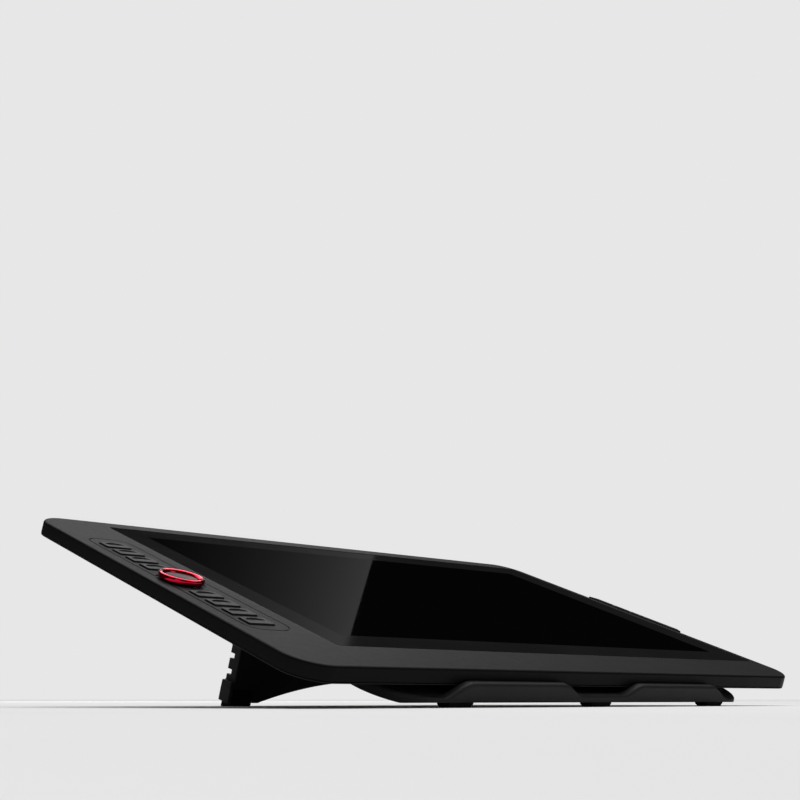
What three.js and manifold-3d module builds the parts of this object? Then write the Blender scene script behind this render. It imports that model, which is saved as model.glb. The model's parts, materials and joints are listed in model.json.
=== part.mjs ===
// Pen display tablet (15.6 inch class) lying on its folding desk stand.
// Millimetres, +X to the user's right, +Y away from the user, +Z up, origin at the bottom
// centre of the bounding box. The stand's plate is tilted towards the user and a hinged,
// rib-backed leg props it up; the tablet rests on the plate against the front lip.
import * as THREE from 'three';
import Module from 'manifold-3d';
import { mergeVertices } from 'three/addons/utils/BufferGeometryUtils.js';

const wasm = await Module();
wasm.setup();

// ---------------------------------------------------------------- driving dimensions
const GAP = 0.3; // clearance between touching pieces
const EPS = 0.05; // overrun of a cutting tool
const DEG = Math.PI / 180;

// Stand plate, in its own frame: y runs up the slope from the lip, z is the outward normal.
const PLATE = { halfWidth: 162.7, front: -6, back: 213.5, depth: 5.5, skin: 2.5, wall: 2.5,
  tilt: 20 * DEG, frontHeight: 6.2, frontCorner: 34, backCorner: 26, chamfer: 1.2 };
const RIB = { thickness: 1.6, pitchX: 16.2, pitchY: 19.6 };
const LIP = { height: 8.3, dip: 2.2, inner: 18.5, innerTop: 37, outerTop: 111, outer: 133,
  thickness: 5.7 };
const OPENING = { halfWidth: 114.8, low: 117.5, high: 191.4, humpStart: 92, humpTop: 135.5,
  tongueLow: 176, tongueHalf: 52, tongueRoot: 70 };
const GRIP = { x: 138, halfWidth: 9.5, from: 34, to: 160, inset: 1, proud: 0.6 };
const FRONT_FOOT = { spacing: 117.5, topHalf: 9.5, bottomHalf: 8, height: 2, from: -4, to: 5 };

// Hinge line of the leg and the leg itself, in the leg's folded frame: y = 0 on the hinge
// axis and the tip at negative y, z = 0 on the axis and +z on the smooth front face.
const HINGE = { y: 197, z: -7, radius: 4.7, core: 3.7, bore: 1.7, pin: 1.4,
  sleeveFrom: 72, sleeveTo: 112, ringPitch: 4.6, ringWidth: 2.4, innerRings: 4, outerRings: 7 };
const LEG = { halfWidth: 111, front: 7, back: -3, skin: 2, wall: 2.2, top: -6, bottom: -66, lean: 16 * DEG,
  ankleHalf: 113.6, ankleTop: -53, windowTopHalf: 72.4, windowLowHalf: 69, windowLow: -30,
  windowCorner: 9, archHalf: 89.5, archTop: -51.5, ribPitchX: 16.2, ribPitchY: 9.8, firstRib: -1.2,
  rib: 1.5, notchDepth: 4, notchTop: 1.5, notches: [[-39.5, -36], [-49.5, -46]], neckTop: 2.4 };
const LEG_FOOT = { from: 94.7, to: 111, top: -58, tenonInset: 2, tenonRise: 3, tenonThick: 4 };
const BOUND = 200; // half size of a cutting block that reaches past the whole stand

// Tablet, in its own frame: x from the left edge, y from the bottom edge, z up from the
// undersides of its rubber feet.
const TABLET = { width: 443.2, height: 280, thickness: 12.9, corner: 20, sideLow: 5, wall: 2,
  face: 2.5, coverLow: 1.5, coverInset: 16, coverSkin: 1.5 };
const GLASS = { x0: 46.5, x1: 437, y0: 32.5, y1: 266.7, thickness: 1.2, recess: 1.7, corner: 2.7,
  ledge: 5, topLedge: 11 };
const SCREEN = { x0: 60.5, x1: 417, y0: 47.5, y1: 252.4 };
const KEY = { x0: 12, x1: 28.5, height: 10.5, pitch: 15.5, firstOffset: 26, proud: 0.9, low: 8.9,
  flange: 0.9 };
const DIAL = { x: 20.2, y: 140, radius: 13, bowl: 9.8, low: 13.3, high: 16.8, shaft: 3, flange: 9 };
const PANEL = { x0: 8, x1: 37, y0: 54, y1: 230, corner: 10, width: 0.6, depth: 0.4 };
const STRIP = { from: 98, to: 189, proud: 4.7, low: 5.6, high: 13.6, bevel: 6 };
const SIDE_BUTTON = { z: 8.8, halfHeight: 1.5, power: 164, up: 148, down: 134, halfLength: 5,
  proud: 0.5 };
const SCREW = { xs: [40, 221.6, 403], yLow: 22, yHigh: 267, head: 2.2, shank: 0.9, boss: 3.2 };
const REAR_FOOT = { halfWidth: 8, length: 30, low: 45, high: 120, height: 1.2 };
const SEAT = { y: 0.6, z: 0.9 }; // where the tablet's frame sits on the plate's frame
const USB = { y: 222, z: 8, halfLength: 4.5, halfHeight: 1.6, depth: 7, shell: 0.4 };

// Electronics inside the tablet.
const BOARD = { x0: 150, x1: 330, y0: 62, y1: 130, low: 4, high: 5 };
const CHIPS = [[170, 82, 14], [210, 100, 18], [252, 84, 12], [290, 104, 10]]; // x, y, size
const KEY_BOARD = { x0: 8, x1: 35, y0: 57, y1: 227, low: 5.1, high: 6.1 };
const DOME = { sheetLow: 6.4, sheetHigh: 7, top: 7.9, lowRadius: 3.2, topRadius: 1.6 };
const BUTTON_BOARD = { x0: 434, x1: 435.2, y0: 104, y1: 186, z0: 6, z1: 9.8 };
const RIBBON = { thickness: 0.3, from: 225, width: 40, keyTop: 114, keyWidth: 10, run: 4.4 };

// ---------------------------------------------------------------- materials
function plastic(color, roughness, metalness = 0) {
  return new THREE.MeshStandardMaterial({ color, roughness, metalness });
}
const LOOK = {
  shell: plastic(0x3b3b3d, 0.55),
  side: plastic(0x232325, 0.5),
  stand: plastic(0x161618, 0.5),
  rubber: plastic(0x0d0d0e, 0.85),
  glass: plastic(0x08080a, 0.08),
  screen: plastic(0x101216, 0.3),
  key: plastic(0x333335, 0.5),
  crimson: plastic(0x9a0f22, 0.25, 0.9),
  cap: plastic(0x3a3a3c, 0.4, 0.4),
  steel: plastic(0xa8abb0, 0.3, 1),
  board: plastic(0x17502f, 0.5),
  ribbon: plastic(0xb06f22, 0.5),
  silicone: plastic(0xd8d8d2, 0.7),
};

// ---------------------------------------------------------------- solid helpers
function solid(geometry) {
  const bare = geometry.clone();
  bare.deleteAttribute('normal');
  bare.deleteAttribute('uv');
  const merged = mergeVertices(bare, 1e-4);
  return new wasm.Manifold(new wasm.Mesh({
    numProp: 3,
    vertProperties: new Float32Array(merged.attributes.position.array),
    triVerts: new Uint32Array(merged.index.array),
  }));
}

function toGeometry(manifold) {
  const mesh = manifold.getMesh();
  const geometry = new THREE.BufferGeometry();
  geometry.setAttribute('position', new THREE.BufferAttribute(mesh.vertProperties, 3));
  geometry.setIndex(new THREE.BufferAttribute(mesh.triVerts, 1));
  const flat = geometry.toNonIndexed();
  flat.computeVertexNormals();
  return flat;
}

function box(x0, x1, y0, y1, z0, z1) {
  const geometry = new THREE.BoxGeometry(x1 - x0, y1 - y0, z1 - z0);
  return solid(geometry.translate((x0 + x1) / 2, (y0 + y1) / 2, (z0 + z1) / 2));
}

// A cylinder standing on z0 at (x, y).
function post(x, y, radius, z0, z1, sides = 12) {
  const geometry = new THREE.CylinderGeometry(radius, radius, z1 - z0, sides);
  return solid(geometry.rotateX(Math.PI / 2).translate(x, y, (z0 + z1) / 2));
}

// A cylinder along X from x0 to x1, centred on (y, z).
function rod(x0, x1, y, z, radius, sides = 14) {
  const geometry = new THREE.CylinderGeometry(radius, radius, x1 - x0, sides);
  return solid(geometry.rotateZ(Math.PI / 2).translate((x0 + x1) / 2, y, z));
}

// A flat outline extruded from z0 to z1.
function prism(shape, z0, z1, curveSegments = 8) {
  const options = { depth: z1 - z0, bevelEnabled: false, curveSegments };
  return solid(new THREE.ExtrudeGeometry(shape, options).translate(0, 0, z0));
}

// An outline drawn in the (y, z) plane and extruded along X from x0 to x1.
function bar(shape, x0, x1) {
  const options = { depth: x1 - x0, bevelEnabled: false, curveSegments: 6 };
  const geometry = new THREE.ExtrudeGeometry(shape, options);
  const turn = new THREE.Matrix4().makeBasis(
    new THREE.Vector3(0, 1, 0), new THREE.Vector3(0, 0, 1), new THREE.Vector3(1, 0, 0));
  return solid(geometry.applyMatrix4(turn).translate(x0, 0, 0));
}

function polygon(points) {
  return new THREE.Shape(points.map(([x, y]) => new THREE.Vector2(x, y)));
}

function roundedRect(x0, x1, y0, y1, lowRadius, highRadius = lowRadius) {
  const shape = new THREE.Shape();
  const quarter = Math.PI / 2;
  shape.absarc(x0 + lowRadius, y0 + lowRadius, lowRadius, 2 * quarter, 3 * quarter);
  shape.absarc(x1 - lowRadius, y0 + lowRadius, lowRadius, 3 * quarter, 4 * quarter);
  shape.absarc(x1 - highRadius, y1 - highRadius, highRadius, 0, quarter);
  shape.absarc(x0 + highRadius, y1 - highRadius, highRadius, quarter, 2 * quarter);
  shape.closePath();
  return shape;
}

// A solid through convex sections of equally many points, listed from the lowest z up.
function loft(sections) {
  const count = sections[0].points.length;
  const vertices = [];
  const faces = [];
  for (const { points, z } of sections) {
    for (const point of points) vertices.push(point.x, point.y, z);
  }
  for (let level = 0; level + 1 < sections.length; level += 1) {
    for (let i = 0; i < count; i += 1) {
      const a = level * count + i;
      const b = level * count + ((i + 1) % count);
      faces.push(a, b, b + count, a, b + count, a + count);
    }
  }
  const top = (sections.length - 1) * count;
  for (let i = 1; i + 1 < count; i += 1) {
    faces.push(0, i + 1, i);
    faces.push(top, top + i, top + i + 1);
  }
  const geometry = new THREE.BufferGeometry();
  geometry.setAttribute('position', new THREE.Float32BufferAttribute(vertices, 3));
  geometry.setIndex(faces);
  return solid(geometry);
}

function insetOutline(x0, x1, y0, y1, radius, inset, highRadius = radius) {
  const low = Math.max(radius - inset, 0.5);
  const high = Math.max(highRadius - inset, 0.5);
  return roundedRect(x0 + inset, x1 - inset, y0 + inset, y1 - inset, low, high)
    .extractPoints(6).shape.slice(0, -1);
}

function join(solids) {
  return solids.reduce((whole, piece) => whole.add(piece));
}

function cut(whole, tools) {
  return tools.reduce((rest, tool) => rest.subtract(tool), whole);
}

const mirrored = [-1, 1];

// The two ends of a stretch along x on one side of the middle, in ascending order.
function span(side, from, to) {
  return [side * from, side * to].sort((a, b) => a - b);
}

// ---------------------------------------------------------------- assembly groups
const object = new THREE.Group();
const plateFrame = new THREE.Group();
plateFrame.rotation.x = PLATE.tilt;
plateFrame.position.z = PLATE.frontHeight;
object.add(plateFrame);

const legFrame = new THREE.Group();
const legTurn = Math.PI / 2 + LEG.lean - PLATE.tilt;
legFrame.position.set(0, HINGE.y, HINGE.z);
legFrame.rotation.x = legTurn;
plateFrame.add(legFrame);

const tabletFrame = new THREE.Group();
tabletFrame.position.set(-TABLET.width / 2, SEAT.y, SEAT.z);
plateFrame.add(tabletFrame);

function place(group, name, manifold, material) {
  const mesh = new THREE.Mesh(toGeometry(manifold), material);
  mesh.name = name;
  group.add(mesh);
  return mesh;
}

// ---------------------------------------------------------------- stand plate
function plateOutline(inset) {
  return insetOutline(-PLATE.halfWidth, PLATE.halfWidth, PLATE.front, PLATE.back,
    PLATE.frontCorner, inset, PLATE.backCorner);
}

// Hump of the opening's lower edge, from left to right.
function humpTo(shape, half, low, top) {
  const shoulder = low + (top - low) * 0.35;
  shape.bezierCurveTo(-half * 0.7, shoulder, -half * 0.5, top, 0, top);
  shape.bezierCurveTo(half * 0.5, top, half * 0.7, shoulder, half, low);
}

function openingShape(grow) {
  const shape = new THREE.Shape();
  const side = OPENING.halfWidth + grow;
  const low = OPENING.low - grow;
  const high = OPENING.high + grow;
  shape.moveTo(-side, low);
  shape.lineTo(-OPENING.humpStart, low);
  humpTo(shape, OPENING.humpStart, low, OPENING.humpTop - grow);
  shape.lineTo(side, low);
  shape.lineTo(side, high);
  shape.lineTo(OPENING.tongueRoot - grow, high);
  shape.lineTo(OPENING.tongueHalf - grow, OPENING.tongueLow + grow);
  shape.lineTo(grow - OPENING.tongueHalf, OPENING.tongueLow + grow);
  shape.lineTo(grow - OPENING.tongueRoot, high);
  shape.lineTo(-side, high);
  shape.closePath();
  return shape;
}

// Raised lip along the front edge: two lands with ramps, low at the centre and the corners.
function lipSolid() {
  const half = [[LIP.inner, LIP.dip], [LIP.innerTop, LIP.height],
    [LIP.outerTop, LIP.height], [LIP.outer, 0], [LIP.outer, -1]];
  const left = half.map(([x, z]) => [-x, z]).reverse();
  const options = { depth: LIP.thickness, bevelEnabled: false };
  const crest = polygon([...left, ...half].reverse());
  const geometry = new THREE.ExtrudeGeometry(crest, options).rotateX(Math.PI / 2);
  return solid(geometry.translate(0, PLATE.front + LIP.thickness, 0));
}

// Ringed knuckles on both sides of one leg sleeve, turned about the hinge axis.
function knuckleProfile(count) {
  const points = [];
  for (let ring = 0; ring < count; ring += 1) {
    const start = ring * HINGE.ringPitch;
    points.push([HINGE.radius, start], [HINGE.radius, start + HINGE.ringWidth]);
    if (ring + 1 < count) {
      points.push([HINGE.core, start + HINGE.ringWidth], [HINGE.core, start + HINGE.ringPitch]);
    }
  }
  return points;
}

function knuckle(count, x0, side) {
  const outer = knuckleProfile(count);
  const length = (count - 1) * HINGE.ringPitch + HINGE.ringWidth;
  const section = [[HINGE.bore, 0], ...outer, [HINGE.bore, length], [HINGE.bore, 0]];
  const points = section.map(([radius, along]) => new THREE.Vector2(radius, along));
  const geometry = new THREE.LatheGeometry(points, 12).rotateZ(-side * Math.PI / 2);
  const ring = solid(geometry.translate(side * x0, HINGE.y, HINGE.z));
  const far = side * (x0 + length);
  const web = box(Math.min(side * x0, far), Math.max(side * x0, far),
    HINGE.y - 2.5, HINGE.y + 2.5, HINGE.z + 2.2, -PLATE.skin + 0.6);
  return ring.add(web);
}

const innerLength = (HINGE.innerRings - 1) * HINGE.ringPitch + HINGE.ringWidth;
const outerLength = (HINGE.outerRings - 1) * HINGE.ringPitch + HINGE.ringWidth;
const innerStart = HINGE.sleeveFrom - GAP - innerLength;
const outerEnd = HINGE.sleeveTo + GAP + outerLength;

function ribPockets() {
  const pockets = [];
  const bays = mirrored.map((side) => {
    const ends = span(side, innerStart - 3, outerEnd + 3);
    return { x0: ends[0], x1: ends[1], y0: HINGE.y - 8, y1: HINGE.y + 7 };
  });
  const columns = Math.floor(PLATE.halfWidth / RIB.pitchX);
  const rows = Math.floor(PLATE.back / RIB.pitchY);
  for (let column = -columns; column < columns; column += 1) {
    for (let row = 0; row <= rows; row += 1) {
      const x0 = column * RIB.pitchX + RIB.thickness / 2;
      const y0 = 10 + row * RIB.pitchY + RIB.thickness / 2;
      const x1 = x0 + RIB.pitchX - RIB.thickness;
      const y1 = Math.min(y0 + RIB.pitchY - RIB.thickness, PLATE.back - PLATE.wall);
      pockets.push(box(x0, x1, y0, y1, -PLATE.depth - 1, -PLATE.skin));
    }
  }
  return { pockets, bays };
}

function standPlate() {
  const shell = loft([
    { points: plateOutline(0.8), z: -PLATE.depth },
    { points: plateOutline(0), z: -PLATE.depth + 1 },
    { points: plateOutline(0), z: -PLATE.chamfer },
    { points: plateOutline(PLATE.chamfer), z: 0 },
  ]);
  const keepRoom = prism(new THREE.Shape(plateOutline(0)), -PLATE.depth - 2, LIP.height + 2);
  const withLip = shell.add(lipSolid().intersect(keepRoom));
  const { pockets, bays } = ribPockets();
  const solidBays = bays.map((bay) => box(bay.x0 - 2, bay.x1 + 2, bay.y0 - 2, bay.y1 + 2,
    -PLATE.depth - 1, 0));
  const inside = prism(new THREE.Shape(plateOutline(PLATE.wall)), -PLATE.depth - 2, 0);
  const frameOfOpening = prism(openingShape(PLATE.wall), -PLATE.depth - 2, 1);
  const hollow = cut(join(pockets).intersect(inside), [frameOfOpening, ...solidBays]);
  const gripGrooves = mirrored.map((side) => gripSolid(side, GAP, -GRIP.inset - GAP, 1));
  const bayRoom = bays.map((bay) => box(bay.x0, bay.x1, bay.y0, bay.y1, -PLATE.depth - 1, -2));
  const opened = cut(withLip, [hollow, ...bayRoom, ...gripGrooves, prism(openingShape(0), -13, 2)]);
  const hinged = mirrored.reduce((whole, side) => whole
    .add(knuckle(HINGE.innerRings, innerStart, side))
    .add(knuckle(HINGE.outerRings, HINGE.sleeveTo + GAP, side)), opened);
  // The underside is cut level with the desk, just above the front feet.
  const desk = box(-BOUND, BOUND, -BOUND / 2, BOUND / 2, -BOUND, 0).rotate([-PLATE.tilt / DEG, 0, 0])
    .translate([0, 0, -(PLATE.frontHeight - FRONT_FOOT.height - GAP) / Math.cos(PLATE.tilt)]);
  const pinSlots = mirrored.map((side) => {
    const ends = span(side, innerStart - 12, outerEnd + 2);
    return rod(ends[0], ends[1], HINGE.y, HINGE.z, HINGE.bore, 12);
  });
  return cut(hinged, [desk, ...pinSlots]);
}

// One long anti-slip strip with round ends.
function gripSolid(side, grow, z0, z1) {
  const half = GRIP.halfWidth + grow;
  const centre = side * GRIP.x;
  return prism(roundedRect(centre - half, centre + half, GRIP.from - grow, GRIP.to + grow,
    half - EPS), z0, z1);
}

function frontFoot(x) {
  const { topHalf, bottomHalf, height, from, to } = FRONT_FOOT;
  const outline = (half) => [[x - half, from], [x + half, from], [x + half, to], [x - half, to]]
    .map(([px, py]) => new THREE.Vector2(px, py));
  return loft([{ points: outline(bottomHalf), z: 0 }, { points: outline(topHalf), z: height }]);
}

function hingePin(side) {
  const ends = span(side, innerStart - 0.4, outerEnd - 0.6);
  return rod(ends[0], ends[1], HINGE.y, HINGE.z, HINGE.pin, 12);
}

place(plateFrame, 'stand_plate', standPlate(), LOOK.stand);
['left', 'right'].forEach((name, index) => {
  const side = mirrored[index];
  place(plateFrame, `grip_strip_${name}`, gripSolid(side, 0, -GRIP.inset, GRIP.proud), LOOK.rubber);
  place(plateFrame, `hinge_pin_${name}`, hingePin(side), LOOK.steel);
});
['left', 'centre', 'right'].forEach((name, index) => {
  place(object, `front_foot_${name}`, frontFoot((index - 1) * FRONT_FOOT.spacing), LOOK.rubber);
});

// ---------------------------------------------------------------- leg
function legOutline() {
  const shape = new THREE.Shape();
  const { halfWidth, ankleHalf, ankleTop, archHalf, archTop, top, bottom } = LEG;
  shape.moveTo(-halfWidth, top);
  shape.lineTo(-halfWidth, ankleTop);
  shape.lineTo(-ankleHalf, ankleTop);
  shape.lineTo(-ankleHalf, bottom);
  shape.lineTo(-archHalf, bottom);
  shape.quadraticCurveTo(0, 2 * archTop - bottom, archHalf, bottom);
  shape.lineTo(ankleHalf, bottom);
  shape.lineTo(ankleHalf, ankleTop);
  shape.lineTo(halfWidth, ankleTop);
  shape.lineTo(halfWidth, top);
  shape.lineTo(LEG.windowTopHalf, top);
  shape.lineTo(LEG.windowLowHalf, LEG.windowLow + LEG.windowCorner);
  shape.quadraticCurveTo(LEG.windowLowHalf, LEG.windowLow,
    LEG.windowLowHalf - LEG.windowCorner, LEG.windowLow);
  shape.lineTo(LEG.windowCorner - LEG.windowLowHalf, LEG.windowLow);
  shape.quadraticCurveTo(-LEG.windowLowHalf, LEG.windowLow,
    -LEG.windowLowHalf, LEG.windowLow + LEG.windowCorner);
  shape.lineTo(-LEG.windowTopHalf, top);
  shape.closePath();
  return shape;
}

// True where the leg is clear of its edges, its window and its arch by a full wall.
function insideLeg(x, y) {
  const { halfWidth, wall, top, bottom, windowTopHalf, windowLow, archHalf, archTop } = LEG;
  const across = Math.abs(x);
  if (across > halfWidth - wall || y > top - wall || y < bottom + wall) return false;
  if (across < windowTopHalf + wall && y > windowLow - wall) return false;
  const rise = Math.max(0, 1 - (across / archHalf) ** 2);
  return y > bottom + wall + (archTop - bottom) * rise;
}

function legPockets() {
  const { halfWidth, wall, rib, ribPitchX, ribPitchY, top, back, front, skin } = LEG;
  const pockets = [];
  const columns = Math.ceil(halfWidth / ribPitchX);
  const rows = Math.ceil((top - LEG.bottom) / ribPitchY);
  for (let column = -columns; column < columns; column += 1) {
    for (let row = 0; row < rows; row += 1) {
      const x0 = Math.max(column * ribPitchX + rib / 2, wall - halfWidth);
      const x1 = Math.min((column + 1) * ribPitchX - rib / 2, halfWidth - wall);
      const y1 = LEG.firstRib - row * ribPitchY - rib / 2;
      const y0 = y1 - ribPitchY + rib;
      const high = Math.min(y1, top - wall);
      const corners = [[x0, y0], [x1, y0], [x0, high], [x1, high]];
      if (x1 - x0 > 3 && high - y0 > 2 && corners.every(([x, y]) => insideLeg(x, y))) {
        pockets.push(box(x0, x1, y0, high, back - 1, front - skin));
      }
    }
  }
  return pockets;
}

function standLeg() {
  const { back, front, top, bottom, halfWidth } = LEG;
  const body = prism(legOutline(), back, front, 8);
  const removed = legPockets();
  const added = [];
  for (const side of mirrored) {
    const sleeve = span(side, HINGE.sleeveFrom, HINGE.sleeveTo);
    const notch = span(side, halfWidth - LEG.notchDepth, halfWidth + 1);
    const room = span(side, LEG_FOOT.from - GAP, LEG_FOOT.to + GAP);
    const tenon = span(side, LEG_FOOT.from + LEG_FOOT.tenonInset, LEG_FOOT.to - LEG_FOOT.tenonInset);
    added.push(rod(sleeve[0], sleeve[1], 0, 0, HINGE.radius, 16),
      box(sleeve[0], sleeve[1], top - EPS, 0, back, LEG.neckTop),
      box(tenon[0], tenon[1], bottom + LEG_FOOT.tenonRise, LEG_FOOT.top + 1, 0, LEG_FOOT.tenonThick));
    removed.push(...LEG.notches.map(([y0, y1]) => box(notch[0], notch[1], y0, y1, back - 1, LEG.notchTop)),
      box(room[0], room[1], bottom - 1, LEG_FOOT.top + GAP, back - 1, front + 1));
  }
  return join([cut(body, removed), ...added]).subtract(rod(-BOUND, BOUND, 0, 0, HINGE.bore, 12));
}

// Rubber boot on a bottom corner of the leg; its sole is level when the leg is down.
function legFoot(side) {
  const { from, to, top, tenonInset, tenonRise, tenonThick } = LEG_FOOT;
  const outer = span(side, from, to);
  const socket = span(side, from + tenonInset - GAP, to - tenonInset + GAP);
  const block = box(outer[0], outer[1], 2 * LEG.bottom, top, LEG.back, LEG.front);
  const pocket = box(socket[0], socket[1], LEG.bottom + tenonRise - GAP, top + 1, -GAP, tenonThick + GAP);
  const hingeHeight = PLATE.frontHeight + HINGE.y * Math.sin(PLATE.tilt)
    + HINGE.z * Math.cos(PLATE.tilt);
  const desk = box(-BOUND, BOUND, -BOUND, BOUND, -BOUND, -hingeHeight)
    .rotate([-(PLATE.tilt + legTurn) / DEG, 0, 0]);
  return cut(block, [pocket, desk]);
}

place(legFrame, 'stand_leg', standLeg(), LOOK.stand);
place(legFrame, 'leg_foot_left', legFoot(-1), LOOK.rubber);
place(legFrame, 'leg_foot_right', legFoot(1), LOOK.rubber);

// ---------------------------------------------------------------- tablet casing
const TOP = TABLET.thickness;
const FACE_UNDER = TOP - TABLET.face;
const keyCentres = [];
for (const side of mirrored) {
  for (let i = 0; i < 4; i += 1) {
    keyCentres.push(DIAL.y - side * (KEY.firstOffset + i * KEY.pitch));
  }
}
keyCentres.sort((a, b) => b - a);
const sideButtons = [
  { name: 'power_button', y: SIDE_BUTTON.power },
  { name: 'brightness_up_button', y: SIDE_BUTTON.up },
  { name: 'brightness_down_button', y: SIDE_BUTTON.down },
];
const screwPlaces = [SCREW.yLow, SCREW.yHigh].flatMap((y) => SCREW.xs.map((x) => [x, y]));

function tabletOutline(inset) {
  return insetOutline(0, TABLET.width, 0, TABLET.height, TABLET.corner, inset);
}

function frontFrame() {
  const outer = loft([
    { points: tabletOutline(0), z: TABLET.sideLow },
    { points: tabletOutline(0), z: TOP - 1.2 },
    { points: tabletOutline(1.2), z: TOP },
  ]);
  const inner = prism(new THREE.Shape(tabletOutline(TABLET.wall)), TABLET.sideLow - 1, FACE_UNDER);
  const recess = prism(roundedRect(GLASS.x0 - GAP, GLASS.x1 + GAP, GLASS.y0 - GAP, GLASS.y1 + GAP,
    GLASS.corner + GAP), TOP - GLASS.recess, TOP + 1, 3);
  const window = box(GLASS.x0 + GLASS.ledge, GLASS.x1 - GLASS.ledge, GLASS.y0 + GLASS.ledge,
    GLASS.y1 - GLASS.topLedge, FACE_UNDER - 1, TOP);
  const keyHoles = keyCentres.map((y) => box(KEY.x0 - GAP, KEY.x1 + GAP,
    y - KEY.height / 2 - GAP, y + KEY.height / 2 + GAP, FACE_UNDER - 1, TOP + 1));
  const dialHole = post(DIAL.x, DIAL.y, DIAL.shaft + 0.5, FACE_UNDER - 1, TOP + 1, 16);
  const buttonHoles = sideButtons.map(({ y }) => box(TABLET.width - 4, TABLET.width + 1,
    y - SIDE_BUTTON.halfLength + 2, y + SIDE_BUTTON.halfLength - 2,
    SIDE_BUTTON.z - 1.3, SIDE_BUTTON.z + 1.3));
  const usbHole = box(TABLET.width - 4, TABLET.width + 1, USB.y - USB.halfLength - GAP,
    USB.y + USB.halfLength + GAP, USB.z - USB.halfHeight - GAP, USB.z + USB.halfHeight + GAP);
  const bosses = screwPlaces.map(([x, y]) => post(x, y, SCREW.boss, TABLET.sideLow, FACE_UNDER + 0.5));
  const bores = screwPlaces.map(([x, y]) => post(x, y, SCREW.shank + GAP, TABLET.sideLow - 1, 10, 10));
  const panel = grooveSolid();
  const openings = [recess, window, ...keyHoles, dialHole, ...buttonHoles, usbHole, panel];
  const shell = cut(outer, [inner, ...openings]);
  return cut(join([shell, ...bosses]), bores);
}

// Fine outline groove around the keys and the dial.
function grooveSolid() {
  const { x0, x1, y0, y1, corner, width, depth } = PANEL;
  const outer = prism(roundedRect(x0, x1, y0, y1, corner), TOP - depth, TOP + 1, 4);
  const inner = prism(roundedRect(x0 + width, x1 - width, y0 + width, y1 - width, corner - width),
    TOP - 1, TOP + 2, 4);
  return outer.subtract(inner);
}

function backCover() {
  const { coverLow, coverInset, coverSkin, sideLow } = TABLET;
  const rim = sideLow - GAP;
  const outer = loft([
    { points: tabletOutline(coverInset), z: coverLow },
    { points: tabletOutline(0), z: rim },
  ]);
  const inner = loft([
    { points: tabletOutline(coverInset + 1), z: coverLow + coverSkin },
    { points: tabletOutline(TABLET.wall), z: rim + EPS },
  ]);
  const bosses = screwPlaces.map(([x, y]) => post(x, y, SCREW.boss + 1, coverLow, rim));
  const counterbores = screwPlaces.map(([x, y]) => post(x, y, SCREW.head + GAP, 0, 3.6));
  const bores = screwPlaces.map(([x, y]) => post(x, y, SCREW.shank + GAP, 0, sideLow, 10));
  const filled = join([outer.subtract(inner), ...bosses.map((boss) => boss.intersect(outer))]);
  return cut(filled, [...counterbores, ...bores]);
}

place(tabletFrame, 'front_frame', frontFrame(), LOOK.shell);
place(tabletFrame, 'back_cover', backCover(), LOOK.side);

screwPlaces.forEach(([x, y], index) => {
  const head = post(x, y, SCREW.head, 2.4, 3.3);
  const shank = post(x, y, SCREW.shank, 3.2, 9, 8);
  place(tabletFrame, `case_screw_${index + 1}`, head.add(shank), LOOK.steel);
});

// Rear rubber feet, standing on the stand's grip strips.
[REAR_FOOT.low, REAR_FOOT.high].forEach((y, row) => {
  mirrored.forEach((side, column) => {
    const x = TABLET.width / 2 + side * GRIP.x;
    const shape = roundedRect(x - REAR_FOOT.halfWidth, x + REAR_FOOT.halfWidth, y,
      y + REAR_FOOT.length, 5);
    place(tabletFrame, `rear_foot_${row * 2 + column + 1}`,
      prism(shape, 0, REAR_FOOT.height, 4), LOOK.rubber);
  });
});

// ---------------------------------------------------------------- screen stack
function slab(inset, z0, z1) {
  return box(SCREEN.x0 + inset, SCREEN.x1 - inset, SCREEN.y0 + inset, SCREEN.y1 - inset, z0, z1);
}
const glassLow = TOP - GLASS.recess + GAP;
place(tabletFrame, 'cover_glass', prism(
  roundedRect(GLASS.x0, GLASS.x1, GLASS.y0, GLASS.y1, GLASS.corner),
  glassLow, glassLow + GLASS.thickness, 3),
LOOK.glass);
place(tabletFrame, 'lcd_panel', slab(0, 9.2, 11.2), LOOK.screen);
place(tabletFrame, 'backlight_unit', slab(0, 7.4, 8.9), LOOK.silicone);
place(tabletFrame, 'digitizer_board', slab(2, 6.6, 7.1), LOOK.board);
place(tabletFrame, 'shield_plate', slab(-4, 5.8, 6.3), LOOK.steel);

// ---------------------------------------------------------------- electronics
function mainBoard() {
  const plate = box(BOARD.x0, BOARD.x1, BOARD.y0, BOARD.y1, BOARD.low, BOARD.high);
  return join([plate, ...CHIPS.map(([x, y, size]) => box(x - size / 2, x + size / 2,
    y - size / 2, y + size / 2, BOARD.high - EPS, BOARD.high + 0.5))]);
}

const encoderRoom = post(DIAL.x, DIAL.y, DIAL.flange, 0, 10, 16);

function keyBoard() {
  const { x0, x1, y0, y1, low, high } = KEY_BOARD;
  return box(x0, x1, y0, y1, low, high).subtract(encoderRoom);
}

function domeSheet() {
  const { x0, x1, y0, y1 } = KEY_BOARD;
  const { sheetLow, sheetHigh, top, topRadius, lowRadius } = DOME;
  const sheet = box(x0, x1, y0, y1, sheetLow, sheetHigh);
  const low = sheetHigh - 2 * EPS;
  const middle = (KEY.x0 + KEY.x1) / 2;
  const domes = keyCentres.map((y) => {
    const geometry = new THREE.CylinderGeometry(topRadius, lowRadius, top - low, 10);
    return solid(geometry.rotateX(Math.PI / 2).translate(middle, y, (low + top) / 2));
  });
  return join([sheet, ...domes]).subtract(encoderRoom);
}

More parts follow.
